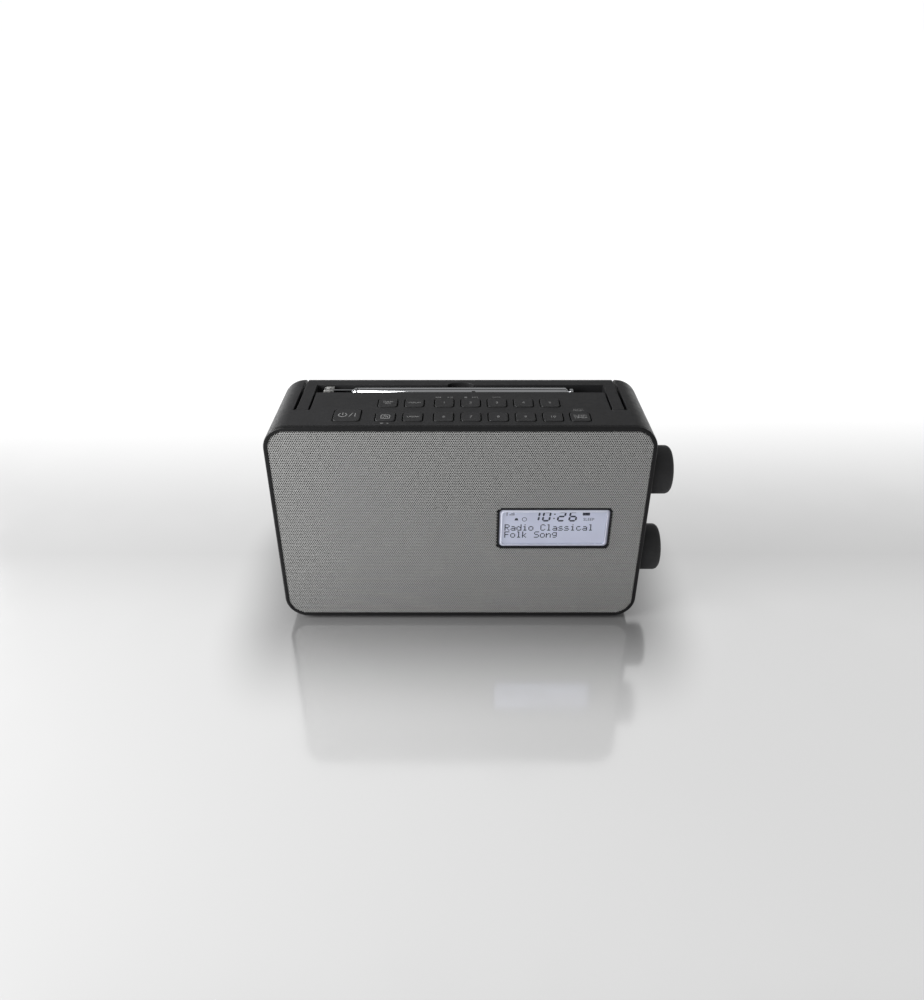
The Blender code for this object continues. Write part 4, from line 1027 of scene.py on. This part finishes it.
# ---------------------------------------------------------------- handle
def handle():
    """The U-shaped handle with a round hub at the front end of each arm."""
    top = BODY_H
    chord = math.degrees(math.asin((top - PIVOT[1]) / HUB_R))
    foot = math.degrees(math.asin((HANDLE_LOW_Z - PIVOT[1]) / HUB_R))
    hub = arc(PIVOT, HUB_R, 180 - chord, 360 + foot, 40)
    rear_start = math.degrees(math.asin((HANDLE_LOW_Z - top + REAR_ROUND) / REAR_ROUND))
    rear = arc((BODY_D - REAR_ROUND, top - REAR_ROUND), REAR_ROUND, rear_start, 90, 20)
    body = bare_object("carrying_handle", prism([*hub, *rear], -ARM_OUT_X, ARM_OUT_X, "X"))
    notch = []
    for step in range(33):
        angle = math.pi * step / 32
        notch.append((NOTCH_HALF_W * math.cos(angle), BAR_FRONT_Y + NOTCH_DEPTH * math.sin(angle)))
    between = [(ARM_IN_X, 0.01), (ARM_IN_X, BAR_FRONT_Y), *notch, (-ARM_IN_X, BAR_FRONT_Y), (-ARM_IN_X, 0.01)]
    carve(body, prism(between, 0.12, 0.17, "Z"))
    carve(body, cylinder(PIN_R + GAP, (-0.12, 0.12), "X", PIVOT))
    soften(body, 0.0004, 3)
    finish_piece(body, HANDLE_MAT, "handle", ["handle"], even=True)


# ---------------------------------------------------------------- aerial
def aerial():
    """The forked base with its pin, the flat tongue, and the sections with their rolled ends."""
    low, high = box_of("antenna_base")
    (front, back), (floor, top) = FORK_X, FORK_Z
    rounded = arc((front + FORK_ROUND, top - FORK_ROUND), FORK_ROUND, 90, 180, 10)
    fork = [(front, floor), (back, floor), (back, top), *rounded]
    base = bare_object("aerial_base", prism(fork, low.y, high.y, "Y"))
    slot_low = (HINGE_X - FORK_SLOT_REACH, ROD_Y - FORK_SLOT_HALF_Y, ROD_Z - FORK_SLOT_REACH)
    carve(base, block(slot_low, (back + 0.0010, ROD_Y + FORK_SLOT_HALF_Y, top + 0.002)))
    soften(base, 0.0002)
    finish_piece(base, NICKEL_MAT, "radio", ["antenna_base"])
    post = cylinder(POST_R, (low.z, floor - GAP), "Z", (HINGE_X, ROD_Y))
    add_piece("aerial_post", post, CHROME_MAT, "radio", "chrome", edge=0.0002)
    pin_start, pin_end = low.y - 0.0001, high.y - 0.0001
    pin = [(0, pin_start), (0.0010, pin_start), (0.0013, low.y + 0.0003), (0.0009, low.y + 0.0003),
           (0.0009, pin_end), (0, pin_end)]
    add_piece("aerial_pin", turned(pin, "Y", (HINGE_X, ROD_Z), 24), STEEL_MAT, "radio", "steel")

    tube_low, tube_high = box_of("antenna_tube_1")
    eye = arc((HINGE_X, ROD_Z), EYE_R, 62, 298, 24)
    end_x = TONGUE_END + 0.001
    strip = [*eye, (end_x, ROD_Z - TONGUE_HALF_Z), (end_x, ROD_Z + TONGUE_HALF_Z)]
    flat = prism(strip, ROD_Y - TONGUE_HALF_Y, ROD_Y + TONGUE_HALF_Y, "Y")
    tongue = bare_object("aerial_tongue", flat)
    carve(tongue, cylinder(EYE_BORE_R, (0.05, 0.08), "Y", (HINGE_X, ROD_Z), 24))
    soften(tongue, 0.0002)
    finish_piece(tongue, CHROME_MAT, "aerial_stage_1", ["antenna_tongue"])
    radius = (tube_high.z - tube_low.z) / 2
    cone_start = TONGUE_END + 0.0003
    cone_length = tube_low.x - TONGUE_END - 0.0008
    cone = [(0, TONGUE_END - 0.0002), (0.0016, TONGUE_END), (CONE_START_R, cone_start)]
    for step in range(1, 9):
        share = step / 8
        bulge = math.sin(share * math.pi / 2)
        cone.append((CONE_START_R + (radius - CONE_START_R) * bulge, cone_start + share * cone_length))
    cone += [(radius - 0.0003, tube_low.x - 0.0002), (0, tube_low.x - 0.0002)]
    add_piece("aerial_cone", turned(cone, "X", (ROD_Y, ROD_Z), 48), CHROME_MAT, "aerial_stage_1", "chrome")

    for stage in range(1, 5):
        node = f"antenna_tube_{stage}"
        low, high = box_of(node)
        outer = (high.z - low.z) / 2
        inner = outer - TUBE_WALL
        roll = 0.0003
        profile = [
            (inner, low.x), (outer - 0.0001, low.x), (outer, low.x + 0.0001), (outer, high.x - 0.0016),
            (outer - 0.00015, high.x - 0.0014), (outer - 0.00015, high.x - 0.0011), (outer, high.x - 0.0009),
            (outer - 0.0001, high.x - roll), (outer - 0.0003, high.x), (inner, high.x),
        ]
        tube = turned(profile, "X", (ROD_Y, ROD_Z), 48)
        body = f"aerial_stage_{stage}"
        add_piece(f"aerial_section_{stage}", tube, CHROME_MAT, body, "chrome", [node], smooth=50)
    low, high = box_of("antenna_rod")
    tip_r = (high.z - low.z) / 2
    neck = high.x - TIP_L
    rod = [(0, low.x), (WIRE_R, low.x), (WIRE_R, neck), (2 * WIRE_R, neck), (tip_r - 0.0003, neck + 0.0001)]
    rod += [(tip_r, neck + 0.0005), (tip_r, high.x - TIP_ROUND)]
    for step in range(1, 7):
        angle = math.radians(90) * step / 6
        rounded_r = tip_r * math.cos(angle * 0.5) if step < 6 else 0
        rod.append((rounded_r, high.x - TIP_ROUND * (1 - math.sin(angle))))
    tip = turned(rod, "X", (ROD_Y, ROD_Z), 48)
    add_piece("aerial_tip", tip, CHROME_MAT, "aerial_stage_5", "chrome", ["antenna_rod"])


# ---------------------------------------------------------------- rear
def rear_cover():
    """The moulded back with its openings for the door, sockets and screws, and its vents."""
    depths = fillet_depths(COVER_FRONT, BODY_D - 0.0002, 7)
    cover = bare_object("back_cover", loft(body_sections([*depths, BODY_D])))
    inner = []
    for inset, y in COVER_HOLLOW:
        outline = rounded_rect(BODY_W - 2 * inset, BODY_H - 2 * inset, COVER_HOLLOW_R, (0, MID_Z), 8)
        inner.append(at_depth(outline, y))
    hollow = bare_object("hollow", loft(inner))
    edge_x = SLOT_OUT_X + WELL_WALL
    rebate_y = 0.07
    under = (-edge_x, rebate_y, WELL_FLOOR_Z - WELL_WALL)
    carve(hollow, block(under, (edge_x, WELL_BACK_Y, BODY_H + 0.002)))
    carve(cover, taken_mesh(hollow))
    carve(cover, block((-SLOT_OUT_X, rebate_y, WELL_FLOOR_Z), (SLOT_OUT_X, WELL_BACK_Y, WELL_TOP_Z)))
    openings = bmesh.new()
    door_low, door_high = box_of("battery_door")
    margin = 0.0005
    front, back = THROUGH_BACK
    high_corner = (door_high.x + margin, back, door_high.z + margin)
    block((door_low.x - margin, front, door_low.z - margin), high_corner, openings)
    inlet = middle_of("mains_inlet")
    prism(rounded_rect(0.0196, 0.0116, 0.002, (inlet.x, inlet.z), 6), front, back, "Y", openings)
    for node in ("earphone_jack", "line_in_jack"):
        centre = middle_of(node)
        cylinder(0.0043, THROUGH_BACK, "Y", (centre.x, centre.z), bm=openings)
    for node in SCREW_NODES:
        centre = middle_of(node)
        cylinder(0.0034, THROUGH_BACK, "Y", (centre.x, centre.z), bm=openings)
    # Vents above the transformer.
    for column in range(VENT_COUNT):
        x = VENT_FIRST_X + VENT_PITCH * column
        prism(rounded_rect(*VENT_SIZE, VENT_R, (x, VENT_Z), 5), front, back, "Y", openings)
    carve(cover, openings)
    soften(cover, MOULDED_EDGE)
    finish_piece(cover, CABINET_MAT, "radio", ["rear_cover"], even=True)


def cross_screw(node):
    """A domed screw head with a cross recess on a plain shank."""
    low, high = box_of(node)
    centre = middle_of(node)
    radius = (high.x - low.x) / 2
    head = high.y - 0.0020
    dome = 0.0009
    shank_r = 0.0014
    profile = [(0, low.y), (shank_r, low.y + 0.0004), (shank_r, head)]
    profile += [(radius, head), (radius, high.y - dome)]
    for step in range(1, 7):
        angle = math.radians(90) * step / 6
        profile.append((radius * math.cos(angle), high.y - dome * (1 - math.sin(angle))))
    screw = bare_object(node + "_head", turned(profile, "Y", (centre.x, centre.z), 32))
    for half_x, half_z in ((0.0014, 0.0003), (0.0003, 0.0014)):
        low_corner = (centre.x - half_x, high.y - 0.0012, centre.z - half_z)
        carve(screw, block(low_corner, (centre.x + half_x, high.y + 0.001, centre.z + half_z)))
    finish_piece(screw, STEEL_MAT, "radio", [node])


def battery_door():
    """The door: a softly edged panel with a ribbed thumb grip, an arrow and four stiffening ribs inside."""
    low, high = box_of("battery_door")
    centre_x = (low.x + high.x) / 2
    back = high.y
    inner = low.y
    outline = rounded_rect(high.x - low.x, high.z - low.z, 0.0015, (centre_x, (low.z + high.z) / 2), 5)
    panel = bare_object("door_panel", prism(outline, back - 0.0018, back - 0.0004, "Y"))
    grip = rounded_rect(0.0260, 0.0110, 0.0020, (centre_x, high.z - 0.0105), 6)
    carve(panel, prism(grip, back - 0.0009, 0.1, "Y"))
    soften(panel, MOULDED_EDGE)
    finish_piece(panel, CABINET_MAT, "battery_door", ["battery_door"], even=True)
    ribs = bmesh.new()
    for row in range(5):
        z = high.z - 0.0144 + 0.0019 * row
        prism(rounded_rect(0.0200, 0.0009, 0.0004, (centre_x, z), 4), back - 0.0011, back - 0.0004, "Y", ribs)
    arrow_z = high.z - 0.0215
    arrow = [(centre_x - 0.0030, arrow_z), (centre_x + 0.0030, arrow_z), (centre_x, arrow_z - 0.0042)]
    prism(arrow, back - 0.0006, back - 0.0002, "Y", ribs)
    edges = {"edge": 0.0001, "segments": 1}
    add_piece("door_ribs", ribs, CABINET_MAT, "battery_door", "charcoal_plastic", **edges)
    stiffeners = bmesh.new()
    for x in (centre_x - 0.040, centre_x - 0.0135, centre_x + 0.0135, centre_x + 0.040):
        block((x - 0.0006, inner, low.z + 0.006), (x + 0.0006, back - 0.0017, high.z - 0.006), stiffeners)
    add_piece("door_stiffeners", stiffeners, CABINET_MAT, "battery_door", "charcoal_plastic", **edges)


def socket_details():
    """Polished rings in the jacks and the words printed beside the sockets."""
    for node in ("earphone_jack", "line_in_jack"):
        high = box_of(node)[1]
        centre = middle_of(node)
        ring = [(0.00175, high.y - 0.0015), (0.0029, high.y - 0.0015), (0.0029, high.y - 0.0003),
                (0.0027, high.y - 0.00005), (0.0021, high.y - 0.00005), (0.00175, high.y - 0.0004)]
        add_piece(node + "_ring", turned(ring, "Y", (centre.x, centre.z), 40), CHROME_MAT, "radio", "chrome")
    back = BODY_D
    inlet = middle_of("mains_inlet")
    labels = (
        ("earphone_label", "PHONES", middle_of("earphone_jack") + Vector((0.0125, 0, 0))),
        ("line_label", "LINE IN", middle_of("line_in_jack") + Vector((0.0125, 0, 0))),
        ("inlet_label", "AC IN", inlet + Vector((0, 0, 0.0086))),
    )
    for name, words, centre in labels:
        place_at = (centre.x, back - 0.00002, centre.z)
        lettering(name, words, 0.0030, place_at, "radio", MARK_MAT, "rear", 0.00002)


def bevel_staying(node, width):
    """Rounds the edges of a CAD node that stays in view."""
    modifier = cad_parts[node].modifiers.new("soften", "BEVEL")
    modifier.width = width
    modifier.segments = 2
    modifier.limit_method = "ANGLE"
    modifier.harden_normals = True


cabinet_shell()
front_frame()
front_grille()
display_window()
lcd_panel()
lcd_marks()
for key_node in KEY_NODES:
    key_cap(key_node)
    key_legends(key_node)
panel_marks()
knob("volume_knob", "volume_dial")
knob("tuning_knob", "tuning_dial")
handle()
aerial()
rear_cover()
for screw_node in SCREW_NODES:
    cross_screw(screw_node)
battery_door()
socket_details()
STAYING_EDGES = {
    "mains_inlet": 0.0003, "battery_box": 0.0003, "earphone_jack": 0.0002,
    "line_in_jack": 0.0002, "main_board": 0.0001, "mains_transformer": 0.0004,
}
for staying_node, edge_width in STAYING_EDGES.items():
    bevel_staying(staying_node, edge_width)


# ---------------------------------------------------------------- materials of the CAD nodes that stay
STAYING = {
    "key_board": BOARD_MAT, "main_board": BOARD_MAT,
    "handle_pin_left": STEEL_MAT, "handle_pin_right": STEEL_MAT,
    "volume_shaft": STEEL_MAT, "tuning_shaft": STEEL_MAT,
    "volume_control": STEEL_MAT, "tuning_control": STEEL_MAT,
    "lcd_holder": WHITE_MAT,
    "speaker_basket": STEEL_MAT, "speaker_cone": PAPER_MAT, "speaker_magnet": IRON_MAT,
    "mains_transformer": IRON_MAT,
    "battery_box": BLACK_MAT, "battery_contact_left": STEEL_MAT, "battery_contact_right": STEEL_MAT,
    "mains_inlet": BLACK_MAT, "earphone_jack": BLACK_MAT, "line_in_jack": BLACK_MAT,
    "foot_front_left": RUBBER_MAT, "foot_front_right": RUBBER_MAT,
    "foot_rear_left": RUBBER_MAT, "foot_rear_right": RUBBER_MAT,
}
for node_name, node_material in STAYING.items():
    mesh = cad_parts[node_name].data
    mesh.materials.clear()
    mesh.materials.append(node_material)


# ---------------------------------------------------------------- camera, floor and light
CAMERA_PLACE = Vector((0, -0.4476, 0.378))
CAMERA_TILT = 31.7
CAMERA_LENS = 28.0
CAMERA_SHIFT = 0.0016


def camera():
    """A wide view from in front of the cabinet and above it, looking down."""
    lens = bpy.data.cameras.new("camera")
    lens.lens = CAMERA_LENS
    lens.shift_x = CAMERA_SHIFT
    view = bpy.data.objects.new("camera", lens)
    view.location = ORIGIN + CAMERA_PLACE
    view.rotation_euler = (math.radians(90 - CAMERA_TILT), 0, 0)
    bpy.context.scene.collection.objects.link(view)
    bpy.context.scene.camera = view


def floor():
    """A pale glossy floor with a painted shadow where the cabinet stands, its glow turning into white light
    further back.
    """
    made = Shading("studio_floor", tone(120), 0.12)
    made.shader.inputs["IOR"].default_value = 3.0
    made.vary_roughness(made.noise(0.05, 3), 0.09, 0.15)
    # Painted contact shadow: the floor's glow fades to nothing close round the cabinet's footprint.
    cabinet_middle = ((SHELL_BOX[0] + SHELL_BOX[1]) / 2) * Vector((1, 1, 0))
    half = Vector((BODY_W / 2, BODY_D / 2, 0)) - Vector((0.004, 0.004, 0))
    away = made.coordinates
    for operation, amount in (("SUBTRACT", cabinet_middle), ("ABSOLUTE", None), ("SUBTRACT", half),
                              ("MAXIMUM", Vector()), ("MULTIPLY", Vector((1.8, 1, 0))), ("LENGTH", None)):
        step = made.nodes.new("ShaderNodeVectorMath")
        step.operation = operation
        made.links.new(away, step.inputs[0])
        if amount is not None:
            step.inputs[1].default_value = amount
        away = step.outputs["Value" if operation == "LENGTH" else "Vector"]
    split = made.nodes.new("ShaderNodeSeparateXYZ")
    made.links.new(made.coordinates, split.inputs["Vector"])
    product = made.nodes.new("ShaderNodeMath")
    product.operation = "MULTIPLY"
    made.links.new(made.ramp(away, 0.0, 1.0, -0.01, 0.11, smooth=True), product.inputs[0])
    made.links.new(made.ramp(split.outputs["Y"], 0.40, 1.0, 0.04, 0.34), product.inputs[1])
    made.shader.inputs["Emission Color"].default_value = (1, 1, 1, 1)
    made.links.new(product.outputs["Value"], made.shader.inputs["Emission Strength"])
    mesh = bpy.data.meshes.new("studio_floor")
    reach = 30.0
    corners = [(-reach, -reach, 0), (reach, -reach, 0), (reach, reach, 0), (-reach, reach, 0)]
    mesh.from_pydata(corners, [], [(0, 1, 2, 3)])
    mesh.materials.append(made.material)
    ground = bpy.data.objects.new("studio_floor", mesh)
    bpy.context.scene.collection.objects.link(ground)


def soft_light(name, location, target, size, power):
    lamp = bpy.data.lights.new(name, "AREA")
    lamp.shape = "RECTANGLE"
    lamp.size, lamp.size_y = size
    lamp.energy = power
    light = bpy.data.objects.new(name, lamp)
    light.location = location
    light.rotation_euler = (Vector(target) - Vector(location)).to_track_quat("-Z", "Y").to_euler()
    bpy.context.scene.collection.objects.link(light)


# How bright the surroundings are at each angle, in degrees from the horizon behind over the top to the front.
SKY = (
    (0, 0.08), (32, 0.08), (40, 0.75), (64, 0.75), (74, 0.1),
    (92, 0.1), (100, 0.55), (146, 0.55), (158, 0.2), (180, 0.15),
)
HEIGHT_SHADE = {"From Min": 0.1, "From Max": 0.45, "To Min": 0.12, "To Max": 1.0}
HORIZON_GLOW = {"From Min": 0.02, "From Max": 0.24, "To Min": 1.0, "To Max": 0.0}


def studio():
    """A dome of bright and dim bands with a white horizon, and two soft lights on the left, one behind."""
    world = bpy.data.worlds.new("studio")
    world.use_nodes = True
    nodes, links = world.node_tree.nodes, world.node_tree.links
    direction = nodes.new("ShaderNodeTexCoord")
    split = nodes.new("ShaderNodeSeparateXYZ")
    links.new(direction.outputs["Generated"], split.inputs["Vector"])
    turn = nodes.new("ShaderNodeMath")
    turn.operation = "ARCTAN2"
    links.new(split.outputs["Z"], turn.inputs[0])
    links.new(split.outputs["Y"], turn.inputs[1])
    share = nodes.new("ShaderNodeMapRange")
    share.inputs["From Max"].default_value = math.pi
    links.new(turn.outputs["Value"], share.inputs["Value"])
    ramp = nodes.new("ShaderNodeValToRGB")
    stops = ramp.color_ramp.elements
    while len(stops) < len(SKY):
        stops.new(1.0)
    for stop, (degrees, strength) in zip(stops, SKY):
        stop.position = degrees / 180
        stop.color = (strength, strength, strength, 1)
    links.new(share.outputs["Result"], ramp.inputs["Fac"])
    height = nodes.new("ShaderNodeMapRange")
    height.interpolation_type = "SMOOTHSTEP"
    for socket, value in HEIGHT_SHADE.items():
        height.inputs[socket].default_value = value
    links.new(split.outputs["Z"], height.inputs["Value"])
    product = nodes.new("ShaderNodeMath")
    product.operation = "MULTIPLY"
    links.new(ramp.outputs["Color"], product.inputs[0])
    links.new(height.outputs["Result"], product.inputs[1])
    horizon = nodes.new("ShaderNodeMapRange")
    horizon.interpolation_type = "SMOOTHSTEP"
    for socket, value in HORIZON_GLOW.items():
        horizon.inputs[socket].default_value = value
    links.new(split.outputs["Z"], horizon.inputs["Value"])
    both = nodes.new("ShaderNodeMath")
    links.new(product.outputs["Value"], both.inputs[0])
    links.new(horizon.outputs["Result"], both.inputs[1])
    links.new(both.outputs["Value"], nodes["Background"].inputs["Strength"])
    nodes["Background"].inputs["Color"].default_value = (1, 1, 1, 1)
    bpy.context.scene.world = world
    soft_light("key_light", (-0.54, -0.30, 0.38), (0.02, 0, 0.08), (0.35, 0.35), 6.0)
    soft_light("rim_light", (-1.5, 1.0, 0.64), (-0.1, 0, 0.12), (0.5, 0.45), 9)
    bpy.context.scene.view_settings.view_transform = "Standard"


camera()
floor()
studio()
